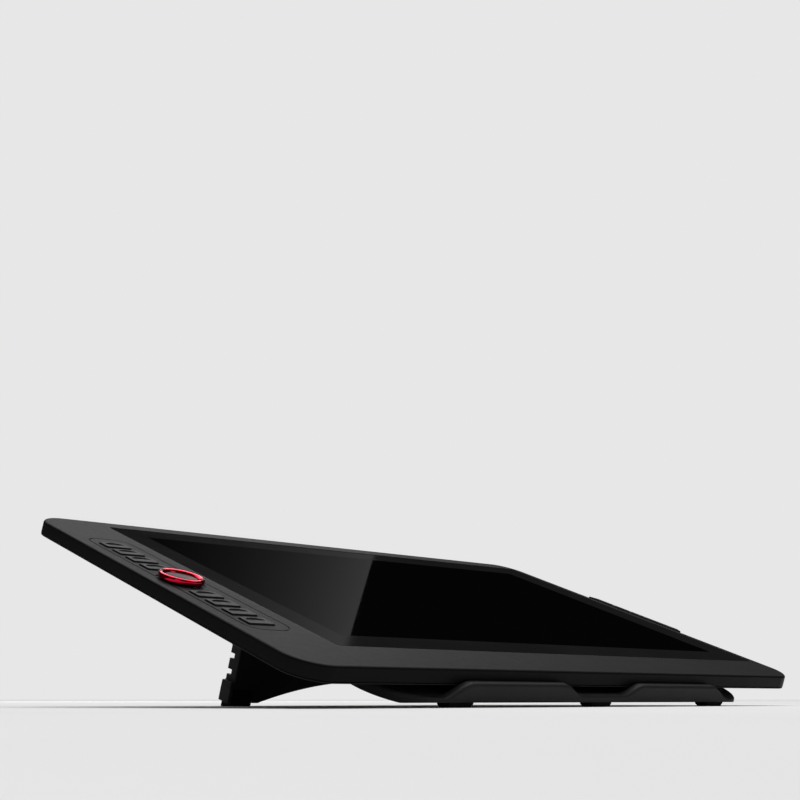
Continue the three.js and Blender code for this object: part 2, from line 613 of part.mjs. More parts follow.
// Outline of a thin ribbon that follows a bent line, thickened to the left of its direction.
function ribbonShape(line, thickness) {
  const points = line.map(([a, z]) => new THREE.Vector2(a, z));
  const normals = points.slice(1).map((point, i) => {
    const along = point.clone().sub(points[i]).normalize();
    return new THREE.Vector2(-along.y, along.x);
  });
  const offset = points.map((point, i) => {
    const before = normals[Math.max(i - 1, 0)];
    const after = normals[Math.min(i, normals.length - 1)];
    const mid = before.clone().add(after).normalize();
    return point.clone().addScaledVector(mid, thickness / mid.dot(after));
  });
  return new THREE.Shape([...points, ...offset.reverse()]);
}

place(tabletFrame, 'main_board', mainBoard(), LOOK.board);
place(tabletFrame, 'key_board', keyBoard(), LOOK.board);
place(tabletFrame, 'key_dome_sheet', domeSheet(), LOOK.silicone);
place(tabletFrame, 'side_button_board', box(BUTTON_BOARD.x0, BUTTON_BOARD.x1, BUTTON_BOARD.y0,
  BUTTON_BOARD.y1, BUTTON_BOARD.z0, BUTTON_BOARD.z1), LOOK.board);

// The screen's ribbon leaves its lower edge, folds under it and runs to the main board.
function screenRibbon() {
  const fold = [[-0.3, 9.6], [-2.1, 9.6], [-4.5, 8], [-4.5, 5.6], [-2.1, RIBBON.run]]
    .map(([y, z]) => [SCREEN.y0 + y, z]);
  const line = [...fold, [BOARD.y0 - GAP, RIBBON.run]];
  return bar(ribbonShape(line, RIBBON.thickness), RIBBON.from, RIBBON.from + RIBBON.width);
}

function keyRibbon() {
  const start = KEY_BOARD.x1 + GAP;
  const high = KEY_BOARD.low + GAP;
  const line = [[start, high], [start + 2.7, high], [start + 5.7, RIBBON.run],
    [BOARD.x0 - GAP, RIBBON.run]];
  const shape = ribbonShape(line, RIBBON.thickness);
  const geometry = new THREE.ExtrudeGeometry(shape, { depth: RIBBON.keyWidth, bevelEnabled: false });
  return solid(geometry.rotateX(Math.PI / 2).translate(0, RIBBON.keyTop, 0));
}
place(tabletFrame, 'screen_ribbon', screenRibbon(), LOOK.ribbon);
place(tabletFrame, 'key_ribbon', keyRibbon(), LOOK.ribbon);

function usbPort() {
  const { y, z, halfLength, halfHeight, depth, shell } = USB;
  const x1 = TABLET.width - shell;
  const can = box(x1 - depth, x1, y - halfLength, y + halfLength, z - halfHeight, z + halfHeight);
  const mouth = box(x1 - depth + 1, x1 + 1, y - halfLength + shell, y + halfLength - shell,
    z - halfHeight + shell, z + halfHeight - shell);
  const tongue = box(x1 - depth + 0.9, x1 - 1, y - 3.2, y + 3.2, z - 0.35, z + 0.35);
  return can.subtract(mouth).add(tongue);
}
place(tabletFrame, 'usb_port', usbPort(), LOOK.steel);

// ---------------------------------------------------------------- keys
function keySolid(y) {
  const half = KEY.height / 2;
  const stem = box(KEY.x0, KEY.x1, y - half, y + half, KEY.low, TOP);
  const crown = loft([
    { points: rectPoints(KEY.x0, KEY.x1, y - half, y + half, 0), z: TOP - EPS },
    { points: rectPoints(KEY.x0, KEY.x1, y - half, y + half, 0.5), z: TOP + KEY.proud },
  ]);
  const flange = box(KEY.x0 - KEY.flange, KEY.x1 + KEY.flange, y - half - KEY.flange,
    y + half + KEY.flange, KEY.low, FACE_UNDER - GAP);
  return join([stem, crown, flange]);
}

function rectPoints(x0, x1, y0, y1, inset) {
  const corners = [[x0 + inset, y0 + inset], [x1 - inset, y0 + inset],
    [x1 - inset, y1 - inset], [x0 + inset, y1 - inset]];
  return corners.map(([x, y]) => new THREE.Vector2(x, y));
}

keyCentres.forEach((y, index) => {
  place(tabletFrame, `key_${index + 1}`, keySolid(y), LOOK.key);
});

// ---------------------------------------------------------------- dial
function lathe(points, sides = 32) {
  const profile = points.map(([radius, z]) => new THREE.Vector2(radius, z));
  const geometry = new THREE.LatheGeometry(profile, sides).rotateX(Math.PI / 2);
  return solid(geometry.translate(DIAL.x, DIAL.y, 0));
}

place(tabletFrame, 'dial_ring', lathe([[DIAL.bowl, DIAL.low], [DIAL.radius - 1, DIAL.low],
  [DIAL.radius, DIAL.low + 0.8], [DIAL.radius - 0.2, DIAL.high - 1], [DIAL.radius - 1.2, DIAL.high],
  [DIAL.bowl + 1.2, DIAL.high], [DIAL.bowl, DIAL.high - 1.2], [DIAL.bowl, DIAL.low]]), LOOK.crimson);
place(tabletFrame, 'dial_cap', lathe([[0, 14.2], [DIAL.bowl - GAP, 14.2],
  [DIAL.bowl - GAP, DIAL.high - 1.5], [7, 15], [0, 14.7]]), LOOK.cap);
place(tabletFrame, 'dial_shaft', lathe([[0, 7.4], [DIAL.shaft, 7.4], [DIAL.shaft, DIAL.low],
  [DIAL.flange, DIAL.low], [DIAL.flange, 13.9], [0, 13.9]], 16), LOOK.steel);
place(tabletFrame, 'dial_encoder', lathe([[0, 5.1], [8, 5.1], [8, 10], [DIAL.shaft + GAP, 10],
  [DIAL.shaft + GAP, 7], [0, 7]], 16), LOOK.steel);

// ---------------------------------------------------------------- side control strip
const stripX = TABLET.width + GAP;

function controlStrip() {
  const { from, to, proud, low, high, bevel } = STRIP;
  const outline = polygon([[stripX, from], [stripX + proud, from + bevel],
    [stripX + proud, to - bevel], [stripX, to]]);
  const body = prism(outline, low, high);
  const holes = sideButtons.map(({ y }) => box(stripX - 1, stripX + proud + 1,
    y - SIDE_BUTTON.halfLength - GAP, y + SIDE_BUTTON.halfLength + GAP,
    SIDE_BUTTON.z - SIDE_BUTTON.halfHeight - GAP, SIDE_BUTTON.z + SIDE_BUTTON.halfHeight + GAP));
  return cut(body, holes);
}
place(tabletFrame, 'control_strip', controlStrip(), LOOK.side);

for (const { name, y } of sideButtons) {
  const { halfLength, halfHeight, proud } = SIDE_BUTTON;
  const cap = box(stripX + 1, stripX + STRIP.proud + proud, y - halfLength, y + halfLength,
    SIDE_BUTTON.z - halfHeight, SIDE_BUTTON.z + halfHeight);
  const stem = box(TABLET.width - 7, stripX + 1 + EPS, y - halfLength + 2.3, y + halfLength - 2.3,
    SIDE_BUTTON.z - 1, SIDE_BUTTON.z + 1);
  place(tabletFrame, name, cap.add(stem), LOOK.key);
}

// ---------------------------------------------------------------- origin at the bottom centre
object.updateMatrixWorld(true);
const bounds = new THREE.Box3().setFromObject(object, true);
const centre = bounds.getCenter(new THREE.Vector3());
object.position.set(-centre.x, -centre.y, -bounds.min.z);

export default object;
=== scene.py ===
"""Pen display tablet lying on its folding desk stand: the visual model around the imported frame.

Each sub-assembly is modelled in its own millimetres (plate, leg or tablet frame) and is then
carried into the row frame, in metres, by that sub-assembly's matrix.
"""
import json
import math

import bmesh
import bpy
from mathutils import Matrix, Vector


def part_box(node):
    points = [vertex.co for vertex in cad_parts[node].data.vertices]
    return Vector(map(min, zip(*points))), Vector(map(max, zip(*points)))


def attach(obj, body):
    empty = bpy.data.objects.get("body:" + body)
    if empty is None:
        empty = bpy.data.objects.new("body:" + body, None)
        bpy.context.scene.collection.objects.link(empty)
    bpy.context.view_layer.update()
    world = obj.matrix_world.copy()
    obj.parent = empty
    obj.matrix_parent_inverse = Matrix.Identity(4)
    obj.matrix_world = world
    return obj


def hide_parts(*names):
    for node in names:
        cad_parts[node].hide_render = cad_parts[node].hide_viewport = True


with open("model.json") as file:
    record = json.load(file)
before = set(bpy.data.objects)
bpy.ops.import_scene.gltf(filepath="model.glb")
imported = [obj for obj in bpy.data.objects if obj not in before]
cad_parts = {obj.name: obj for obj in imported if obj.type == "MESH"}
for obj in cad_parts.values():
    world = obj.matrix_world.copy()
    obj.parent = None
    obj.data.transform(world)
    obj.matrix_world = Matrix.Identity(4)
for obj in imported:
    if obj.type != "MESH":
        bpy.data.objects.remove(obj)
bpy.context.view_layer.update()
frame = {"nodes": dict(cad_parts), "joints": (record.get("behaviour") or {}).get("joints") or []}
nodes = frame["nodes"]
joints = {joint["name"]: joint for joint in frame["joints"]}

# ---------------------------------------------------------------- places, from the frame
MM = 0.001
TILT = math.radians(20)
LEAN = math.radians(16)
HINGE_Y, HINGE_Z = 197, -7  # hinge line in the plate's frame
DIAL_X, DIAL_Y, DIAL_Z = 20.2, 140, 15  # the dial joint in the tablet's frame
SCALE = Matrix.Scale(MM, 4)
TURN = Matrix.Rotation(TILT, 4, "X")
hinge_place = Vector(joints["leg_fold"]["pos_m"])
dial_place = Vector(joints["dial_spin"]["pos_m"])
plate_place = hinge_place - TURN @ (Vector((0, HINGE_Y, HINGE_Z)) * MM)
tablet_place = dial_place - TURN @ (Vector((DIAL_X, DIAL_Y, DIAL_Z)) * MM)
PLATE = Matrix.Translation(plate_place) @ TURN @ SCALE
TABLET = Matrix.Translation(tablet_place) @ TURN @ SCALE
LEG = Matrix.Translation(hinge_place) @ Matrix.Rotation(math.pi / 2 + LEAN, 4, "X") @ SCALE
FLIP = Matrix.Rotation(math.pi, 4, "X")
HINGE_HEIGHT = hinge_place.z / MM
FRONT_HEIGHT = plate_place.z / MM
SIDES = (-1, 1)
SIDE_NAMES = {-1: "left", 1: "right"}


# ---------------------------------------------------------------- outlines
def arc(centre_x, centre_y, radius, start, end, steps):
    """Points on an arc, angles in degrees."""
    points = []
    for i in range(steps + 1):
        angle = math.radians(start + (end - start) * i / steps)
        x = centre_x + radius * math.cos(angle)
        points.append(Vector((x, centre_y + radius * math.sin(angle))))
    return points


def circle(x, y, radius, steps=48):
    return arc(x, y, radius, 0, 360 - 360 / steps, steps - 1)


def rounded_rect(x0, x1, y0, y1, low, high=None, steps=8):
    """An anticlockwise rectangle with round corners, low at y0 and high at y1."""
    high = low if high is None else high
    return (arc(x0 + low, y0 + low, low, 180, 270, steps)
            + arc(x1 - low, y0 + low, low, 270, 360, steps)
            + arc(x1 - high, y1 - high, high, 0, 90, steps)
            + arc(x0 + high, y1 - high, high, 90, 180, steps))


def curve(a, b, c, d, steps):
    """Points of a cubic curve, without its first point."""
    points = []
    for i in range(1, steps + 1):
        t = i / steps
        s = 1 - t
        points.append(a * s ** 3 + b * (3 * s * s * t) + c * (3 * s * t * t) + d * t ** 3)
    return points


def hump(half, low, top, steps=16):
    """The smooth rise and fall from (-half, low) over (0, top) to (half, low)."""
    a, b = Vector((-half, low)), Vector((-half * 0.7, low + (top - low) * 0.35))
    c, d = Vector((-half * 0.5, top)), Vector((0, top))
    rise = [a] + curve(a, b, c, d, steps)
    fall = [Vector((-point.x, point.y)) for point in reversed(rise[:-1])]
    return rise + fall


def soften(points, radius, steps=5, sharpest=18):
    """Rounds every corner that turns by more than sharpest degrees."""
    result = []
    for i, point in enumerate(points):
        before = points[i - 1] - point
        after = points[(i + 1) % len(points)] - point
        turn = math.degrees(math.pi - before.angle(after, math.pi))
        reach = min(radius, before.length * 0.45, after.length * 0.45)
        if turn < sharpest or reach < 0.02:
            result.append(point)
            continue
        start = point + before.normalized() * reach
        end = point + after.normalized() * reach
        for k in range(steps + 1):
            t = k / steps
            result.append(start * (1 - t) ** 2 + point * (2 * t * (1 - t)) + end * t * t)
    return result


def divide(points, step):
    """Splits long edges, so that a profile may change along them."""
    result = []
    for i, point in enumerate(points):
        following = points[(i + 1) % len(points)]
        count = max(1, round((following - point).length / step))
        result += [point.lerp(following, k / count) for k in range(count)]
    return result


def loop_normals(points):
    """Mitred normals to the left of an outline's direction, where its material lies."""
    normals = []
    for i, point in enumerate(points):
        a = (point - points[i - 1]).normalized()
        b = (points[(i + 1) % len(points)] - point).normalized()
        left_a, left_b = Vector((-a.y, a.x)), Vector((-b.y, b.x))
        mid = (left_a + left_b).normalized()
        normals.append(mid / max(mid.dot(left_b), 0.5))
    return normals


def offset_loop(points, distance):
    return [p + n * distance for p, n in zip(points, loop_normals(points))]


def round_over(offset, z, radius, steps=4):
    """Profile points of a quarter-round edge that ends a wall at (offset, z)."""
    points = []
    for k in range(steps + 1):
        angle = math.pi / 2 * k / steps
        inward = radius * (1 - math.cos(angle))
        down = radius * (1 - math.sin(angle))
        points.append((offset + inward, z - down))
    return points


def smooth_step(value, start, end):
    t = min(max((value - start) / (end - start), 0), 1)
    return t * t * (3 - 2 * t)


# ---------------------------------------------------------------- mesh forms
SHARP_ANGLE, BEVEL_ANGLE = 32, 30  # degrees past which an edge is shaded sharp, and is rounded


def span(side, start, end):
    """The two ends of a stretch along x on one side of the middle, in ascending order."""
    return sorted((side * start, side * end))


class Form:
    """A mesh made of swept loops and flat fills, in a sub-assembly's own millimetres."""

    def __init__(self):
        self.mesh = bmesh.new()

    def ring(self, points):
        return [self.mesh.verts.new(point) for point in points]

    def bridge(self, low, high):
        count = len(low)
        for i in range(count):
            j = (i + 1) % count
            self.mesh.faces.new((low[i], low[j], high[j], high[i]))

    def sweep(self, loop, profile):
        """Carries a profile round a loop; profile(point, normal) or a list of (offset, z)."""
        normals = loop_normals(loop)
        flat = None if callable(profile) else profile
        columns = [flat or profile(p, n) for p, n in zip(loop, normals)]
        rings = []
        for level in range(len(columns[0])):
            places = []
            for point, normal, column in zip(loop, normals, columns):
                offset, z = column[level]
                places.append((point.x + normal.x * offset, point.y + normal.y * offset, z))
            rings.append(self.ring(places))
        for low, high in zip(rings, rings[1:]):
            self.bridge(low, high)
        return rings[0], rings[-1]

    def fill(self, *rings, slot=0):
        """Closes a flat region bounded by rings, with any inner rings left open."""
        edges = []
        for ring in rings:
            for a, b in zip(ring, ring[1:] + ring[:1]):
                edges.append(self.mesh.edges.get((a, b)) or self.mesh.edges.new((a, b)))
        made = bmesh.ops.triangle_fill(self.mesh, edges=edges, use_beauty=True)
        for item in made["geom"]:
            if isinstance(item, bmesh.types.BMFace):
                item.material_index = slot

    def slab(self, loop, profile):
        """A solid closed flat at both ends of its profile."""
        for ring in self.sweep(loop, profile):
            self.fill(ring)

    def block(self, x0, x1, y0, y1, z0, z1):
        low = self.ring([(x0, y0, z0), (x1, y0, z0), (x1, y1, z0), (x0, y1, z0)])
        high = self.ring([(x0, y0, z1), (x1, y0, z1), (x1, y1, z1), (x0, y1, z1)])
        self.bridge(low, high)
        self.mesh.faces.new(low)
        self.mesh.faces.new(high)

    def tube(self, *rings):
        """Joins rings one after the other and closes both ends."""
        for low, high in zip(rings, rings[1:]):
            self.bridge(low, high)
        for ring in (rings[0], rings[-1]):
            self.mesh.faces.new(ring)

    def wall(self, start, end, top, foot, thick, thin):
        """A rib from start to end; foot(point) is its lower edge, thin its foot thickness."""
        along = (end - start).normalized()
        left = Vector((-along.y, along.x))
        corners = []
        for point, reach in ((start, -1), (end, 1)):
            for z, width in ((top, thick), (foot(point), thin)):
                for side in SIDES:
                    place = point + left * (side * width / 2)
                    corners.append(self.mesh.verts.new((place.x, place.y, z)))
        a, b, c, d, e, f, g, h = corners
        for quad in ((a, b, d, c), (e, g, h, f), (a, e, f, b), (c, d, h, g),
                     (a, c, g, e), (b, f, h, d)):
            self.mesh.faces.new(quad)

    def lathe(self, profile, steps=48):
        """Turns (radius, z) points about z; a profile off the axis closes on itself."""
        rings = []
        for radius, z in profile:
            if radius < 1e-6:
                rings.append([self.mesh.verts.new((0, 0, z))])
                continue
            rings.append(self.ring([(p.x, p.y, z) for p in circle(0, 0, radius, steps)]))
        pairs = list(zip(rings, rings[1:]))
        if profile[0][0] > 1e-6:
            pairs.append((rings[-1], rings[0]))
        for low, high in pairs:
            if len(low) == 1 or len(high) == 1:
                tip, rim = (low, high) if len(low) == 1 else (high, low)
                for i in range(len(rim)):
                    self.mesh.faces.new((tip[0], rim[i], rim[(i + 1) % len(rim)]))
            else:
                self.bridge(low, high)

    def turn(self, matrix):
        bmesh.ops.transform(self.mesh, matrix=matrix, verts=self.mesh.verts)


def mesh_of(bm, name):
    data = bpy.data.meshes.new(name)
    bm.to_mesh(data)
    bm.free()
    return data


def add_object(name, data):
    item = bpy.data.objects.new(name, data)
    bpy.context.scene.collection.objects.link(item)
    return item


def finish_piece(form, name, place, body, materials, replaced):
    """Makes the object of a form, shades it, and hands it to the frame."""
    bm = form.mesh
    bmesh.ops.remove_doubles(bm, verts=bm.verts, dist=1e-4)
    bmesh.ops.dissolve_degenerate(bm, edges=bm.edges, dist=1e-5)
    bmesh.ops.recalc_face_normals(bm, faces=bm.faces)
    bm.transform(place)
    limit = math.radians(SHARP_ANGLE)
    for edge in bm.edges:
        edge.smooth = len(edge.link_faces) == 2 and edge.calc_face_angle(0) < limit
    for face in bm.faces:
        face.smooth = True
    data = mesh_of(bm, name)
    piece = add_object(name, data)
    for material in materials if isinstance(materials, (list, tuple)) else [materials]:
        data.materials.append(material)
    weights = piece.modifiers.new("even_shading", "WEIGHTED_NORMAL")
    weights.keep_sharp = True
    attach(piece, body)
    if replaced:
        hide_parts(*replaced)
    return piece


def bevel(piece, width, segments):
    """Rounds a piece's sharp edges by width in millimetres, before its shading modifier."""
    modifier = piece.modifiers.new("edge_round", "BEVEL")
    modifier.width = width * MM
    modifier.segments = segments
    modifier.limit_method = "ANGLE"
    modifier.angle_limit = math.radians(BEVEL_ANGLE)
    piece.modifiers.move(len(piece.modifiers) - 1, 0)


def carve(piece, cutter_form, place):
    """Cuts a form's volume out of a piece and keeps the result as its mesh."""
    bm = cutter_form.mesh
    bmesh.ops.recalc_face_normals(bm, faces=bm.faces)
    bm.transform(place)
    cutter = add_object("cutter", mesh_of(bm, "cutter"))
    cut = piece.modifiers.new("cut", "BOOLEAN")
    cut.operation = "DIFFERENCE"
    cut.solver = "EXACT"
    cut.object = cutter
    piece.modifiers.move(len(piece.modifiers) - 1, 0)
    with bpy.context.temp_override(object=piece, active_object=piece, selected_objects=[piece]):
        bpy.ops.object.modifier_apply(modifier=cut.name)
    bpy.data.objects.remove(cutter)


# ---------------------------------------------------------------- materials
def new_material(name):
    material = bpy.data.materials.new(name)
    material.use_nodes = True
    tree = material.node_tree
    shader = tree.nodes["Principled BSDF"]
    where = tree.nodes.new("ShaderNodeTexCoord")
    return material, tree, shader, where.outputs["Object"]


def feed(tree, node, values):
    """Fills a node's inputs: another node's output is linked, anything else is put in."""
    for name, value in values.items():
        socket = node.inputs[name]
        if isinstance(value, bpy.types.NodeSocket):
            tree.links.new(value, socket)
        else:
            socket.default_value = value


def add_node(tree, kind, values=None):
    node = tree.nodes.new("ShaderNode" + kind)
    feed(tree, node, values or {})
    return node


def noise(tree, where, scale, detail=3.0, roughness=0.5):
    """A noise pattern; scale counts its cells per metre."""
    values = {"Scale": scale, "Detail": detail, "Roughness": roughness, "Vector": where}
    return add_node(tree, "TexNoise", values).outputs["Fac"]


def remap(tree, value, low, high, start=0.3, end=0.7):
    values = {"From Min": start, "From Max": end, "To Min": low, "To Max": high, "Value": value}
    return add_node(tree, "MapRange", values).outputs["Result"]


def mix(tree, factor, dark, light):
    node = tree.nodes.new("ShaderNodeMix")
    node.data_type = "RGBA"
    feed(tree, node, {"A": dark, "B": light, "Factor": factor})
    return node.outputs["Result"]


def tint(tree, factor, dark, light):
    return mix(tree, factor, (*dark, 1), (*light, 1))


def bump(tree, shader, height, strength, distance):
    """Adds a relief of distance metres to a shader, over any relief that it already has."""
    node = add_node(tree, "Bump", {"Strength": strength, "Distance": distance, "Height": height})
    if shader.inputs["Normal"].is_linked:
        tree.links.new(shader.inputs["Normal"].links[0].from_socket, node.inputs["Normal"])
    tree.links.new(node.outputs["Normal"], shader.inputs["Normal"])


def shades(colour, spread):
    return tuple(c * (1 - spread) for c in colour), tuple(c * (1 + spread) for c in colour)


def moulded(name, colour, roughness, specular, grain=3200, edge_highlight=0.35):
    """Moulded plastic: a fine spark texture, uneven gloss, and a painted highlight that makes sharp
    convex edges paler.
    """
    material, tree, shader, where = new_material(name)
    base = tint(tree, remap(tree, noise(tree, where, 60, 4), 0, 1), *shades(colour, 0.08))
    shape = add_node(tree, "NewGeometry")
    # Sharp convex edges are mixed towards a paler colour: a painted highlight on the edges, not
    # wear
    edge = remap(tree, shape.outputs["Pointiness"], 0, edge_highlight, 0.52, 0.6)
    highlit_edges = mix(tree, edge, base, (*[c * 2.4 + 0.004 for c in colour], 1))
    gloss = remap(tree, noise(tree, where, 240, 5), roughness - 0.02, roughness + 0.03)
    feed(tree, shader, {"Base Color": highlit_edges, "Roughness": gloss, "Specular IOR Level": specular})
    bump(tree, shader, noise(tree, where, grain, 2), 0.35, 0.00003)
    bump(tree, shader, noise(tree, where, 420, 3), 0.03, 0.00009)
    return material


def rubber(name, colour, dots=900):
    """Soft rubber with a fine moulded dot relief and dust in uneven blotches."""
    material, tree, shader, where = new_material(name)
    cells = add_node(tree, "TexVoronoi", {"Scale": dots, "Randomness": 0.35, "Vector": where})
    dust = remap(tree, noise(tree, where, 130, 5), 0, 1, 0.35, 0.75)
    tone = tint(tree, dust, *shades(colour, 0.35))
    gloss = remap(tree, noise(tree, where, 500, 4), 0.72, 0.9)
    feed(tree, shader, {"Base Color": tone, "Roughness": gloss, "Specular IOR Level": 0.12})
    bump(tree, shader, cells.outputs["Distance"], 0.4, 0.00006)
    bump(tree, shader, noise(tree, where, 5000, 2), 0.2, 0.00002)
    return material


def metal(name, colour, roughness, grain=(900, 900, 60)):
    """Turned or brushed metal; grain stretches the fine scratches along one axis."""
    material, tree, shader, where = new_material(name)
    stretch = add_node(tree, "Mapping", {"Scale": grain, "Vector": where})
    lines = noise(tree, stretch.outputs["Vector"], 6, 4)
    tone = tint(tree, remap(tree, lines, 0, 1), *shades(colour, 0.1))
    gloss = remap(tree, noise(tree, where, 700, 4), roughness * 0.8, roughness * 1.25)
    feed(tree, shader, {"Base Color": tone, "Metallic": 1, "Roughness": gloss})
    bump(tree, shader, lines, 0.15, 0.00001)
    return material


def dark_glass(name, colour, gloss_share, roughness):
    """Etched black glass: black body, an even thin reflection and faint smears."""
    material, tree, shader, where = new_material(name)
    smear = remap(tree, noise(tree, where, 14, 5, 0.6), 0, 1)
    tone = tint(tree, smear, *shades(colour, 0.2))
    feed(tree, shader, {"Base Color": tone, "Roughness": 0.6, "Specular IOR Level": 0.0})
    coat = tree.nodes.new("ShaderNodeBsdfGlossy")
    haze = remap(tree, noise(tree, where, 40, 6, 0.6), roughness * 0.7, roughness * 1.5)
    etch = add_node(tree, "Bump", {"Strength": 0.05, "Distance": 0.000004})
    tree.links.new(noise(tree, where, 9000, 2), etch.inputs["Height"])
    feed(tree, coat, {"Color": (1, 1, 1, 1), "Roughness": haze, "Normal": etch.outputs["Normal"]})
    blend = add_node(tree, "MixShader", {"Fac": gloss_share})
    tree.links.new(shader.outputs["BSDF"], blend.inputs[1])
    tree.links.new(coat.outputs["BSDF"], blend.inputs[2])
    output = next(node for node in tree.nodes if node.type == "OUTPUT_MATERIAL")
    tree.links.new(blend.outputs["Shader"], output.inputs["Surface"])
    return material


STAND = moulded("stand_plastic", (0.018, 0.018, 0.0185), 0.5, 0.12)
SHELL = moulded("frame_plastic", (0.016, 0.016, 0.0164), 0.48, 0.028, grain=4200)
# A darker copy of the frame plastic for the frame's outer side walls: painted shade, since the
# frame is all one plastic
SIDE_SHADE_PLASTIC = moulded("frame_side_painted_shade", (0.0045, 0.0045, 0.0048), 0.44, 0.05, grain=4200)
COVER = moulded("cover_plastic", (0.012, 0.012, 0.013), 0.52, 0.14)
KEY = moulded("key_plastic", (0.016, 0.016, 0.0164), 0.44, 0.06, grain=5000)
MARK = moulded("mark_ink", (0.72, 0.72, 0.7), 0.6, 0.2, edge_highlight=0)
RUBBER = rubber("black_rubber", (0.006, 0.006, 0.006))
GRIP = rubber("grip_rubber", (0.0075, 0.0075, 0.0078), dots=1400)
BORDER = dark_glass("glass_border", (0.009, 0.009, 0.0093), 0.035, 0.09)
DISPLAY = dark_glass("display_glass", (0.0002, 0.0002, 0.00025), 0.035, 0.03)
CRIMSON = metal("crimson_anodised", (0.62, 0.008, 0.035), 0.16)
CAP = moulded("dial_cap_satin", (0.016, 0.016, 0.0168), 0.36, 0.06, grain=6000)
STEEL = metal("plain_steel", (0.5, 0.5, 0.52), 0.3)
ALUMINIUM = metal("shield_aluminium", (0.62, 0.63, 0.64), 0.35, grain=(60, 900, 900))
BOARD = moulded("solder_mask", (0.012, 0.1, 0.04), 0.35, 0.4, grain=1500, edge_highlight=0)
FILM = moulded("ribbon_film", (0.42, 0.17, 0.03), 0.3, 0.5, grain=900, edge_highlight=0)
SILICONE = moulded("dome_silicone", (0.6, 0.6, 0.57), 0.6, 0.3, grain=1800, edge_highlight=0)
LIGHT_GUIDE = moulded("light_guide", (0.75, 0.76, 0.78), 0.25, 0.5, grain=800, edge_highlight=0)

# ---------------------------------------------------------------- stand plate
HALF_WIDTH, PLATE_FRONT, PLATE_BACK = 162.7, -6, 213.5
FRONT_CORNER, BACK_CORNER = 34, 26
PLATE_DEPTH, SKIN, WALL = 5.5, 2.0, 2.5
LIP_HEIGHT, LIP_DIP, LIP_THICK = 8.3, 2.2, 5.7
LIP_INNER, LIP_INNER_TOP, LIP_OUTER_TOP, LIP_OUTER = 18.5, 37, 111, 133
OPENING_HALF, OPENING_LOW, OPENING_HIGH = 114.8, 117.5, 191.4
HUMP_HALF, HUMP_TOP = 92, 135.5
TONGUE_LOW, TONGUE_HALF, TONGUE_ROOT = 176, 52, 70
FOOT_GAP = 2.3  # height of the plate's level underside over the desk
FRONT_BAND = 14  # width of the solid band behind the front edge
KNUCKLE_RADIUS, KNUCKLE_CORE, PIN_RADIUS, BORE = 4.7, 3.7, 1.4, 1.7
RING_PITCH, RING_WIDTH = 4.6, 2.4
SLEEVE_FROM, SLEEVE_TO, RUNNING_GAP = 72, 112, 0.3
INNER_RINGS, OUTER_RINGS = 4, 7
GRIP_X, GRIP_HALF, GRIP_FROM, GRIP_TO = 138, 9.5, 34, 160
RIB_PITCH, RIB_TOP, RIB_FOOT = (16.2, 9.8), 1.5, 1.1  # spacing, and thickness at skin and foot
BAY_RIB_TOP, BAY_RIB_FOOT = 1.6, 1.3
RIB_SINK = 0.1  # how far a rib's root lies inside the skin
LIP_ZONE = 26  # how far up the slope the lip's section reaches


def ring_run(count):
    return (count - 1) * RING_PITCH + RING_WIDTH


INNER_START = SLEEVE_FROM - RUNNING_GAP - ring_run(INNER_RINGS)
OUTER_END = SLEEVE_TO + RUNNING_GAP + ring_run(OUTER_RINGS)
BAY_IN, BAY_OUT, BAY_LOW, BAY_HIGH = INNER_START - 3, OUTER_END + 3, HINGE_Y - 8, HINGE_Y + 7


def plate_foot(y):
    """Lower edge of the plate's walls: its depth, cut level with the desk at the front."""
    level = -((FRONT_HEIGHT - FOOT_GAP) + y * math.sin(TILT)) / math.cos(TILT)
    return max(-PLATE_DEPTH, level)


def lip_height(x):
    across = abs(x)
    if across > LIP_INNER_TOP:
        return LIP_HEIGHT * (1 - smooth_step(across, LIP_OUTER_TOP, LIP_OUTER))
    return LIP_DIP + (LIP_HEIGHT - LIP_DIP) * smooth_step(across, LIP_INNER, LIP_INNER_TOP)


def plate_profile(point, normal):
    """Section of the plate's rim: skin, wall, outer round, lip and the step down to the top."""
    front = 1 - smooth_step(point.y, PLATE_FRONT, LIP_ZONE)
    lip = lip_height(point.x) if point.y < LIP_ZONE else 0
    band = WALL + (FRONT_BAND - WALL) * front
    foot = plate_foot(point.y)
    inner_foot = min(plate_foot(point.y + normal.y * band), -SKIN - 0.2)
    radius = min(2.0, (lip - foot) * 0.45)
    inner = 1.0
    section = [(band, -SKIN), (band, inner_foot), (0.6, foot), (0.2, foot + 0.15), (0, foot + 0.6)]
    section += round_over(0, lip, radius, 5)
    section += [(LIP_THICK - inner, lip)]
    for k in range(1, 4):
        angle = math.pi / 2 * k / 3
        section.append((LIP_THICK - inner + inner * math.sin(angle),
                        max(lip - inner * (1 - math.cos(angle)), 0)))
    section += [(LIP_THICK + 0.2, min(0.9, lip * 0.3)), (LIP_THICK + 1.2, 0)]
    return section


def plate_outline():
    return divide(rounded_rect(-HALF_WIDTH, HALF_WIDTH, PLATE_FRONT, PLATE_BACK,
                               FRONT_CORNER, BACK_CORNER, 24), 1.6)


def opening_outline():
    side = OPENING_HALF
    points = [Vector((-side, OPENING_LOW))] + hump(HUMP_HALF, OPENING_LOW, HUMP_TOP)
    points += [Vector(p) for p in ((side, OPENING_LOW), (side, OPENING_HIGH),
                                   (TONGUE_ROOT, OPENING_HIGH), (TONGUE_HALF, TONGUE_LOW),
                                   (-TONGUE_HALF, TONGUE_LOW), (-TONGUE_ROOT, OPENING_HIGH),
                                   (-side, OPENING_HIGH))]
    return soften(points, 3)


def grip_outline(side, grow=0.0):
    half, centre = GRIP_HALF + grow, side * GRIP_X
    return rounded_rect(centre - half, centre + half, GRIP_FROM - grow, GRIP_TO + grow,
                        half - 0.01, steps=12)


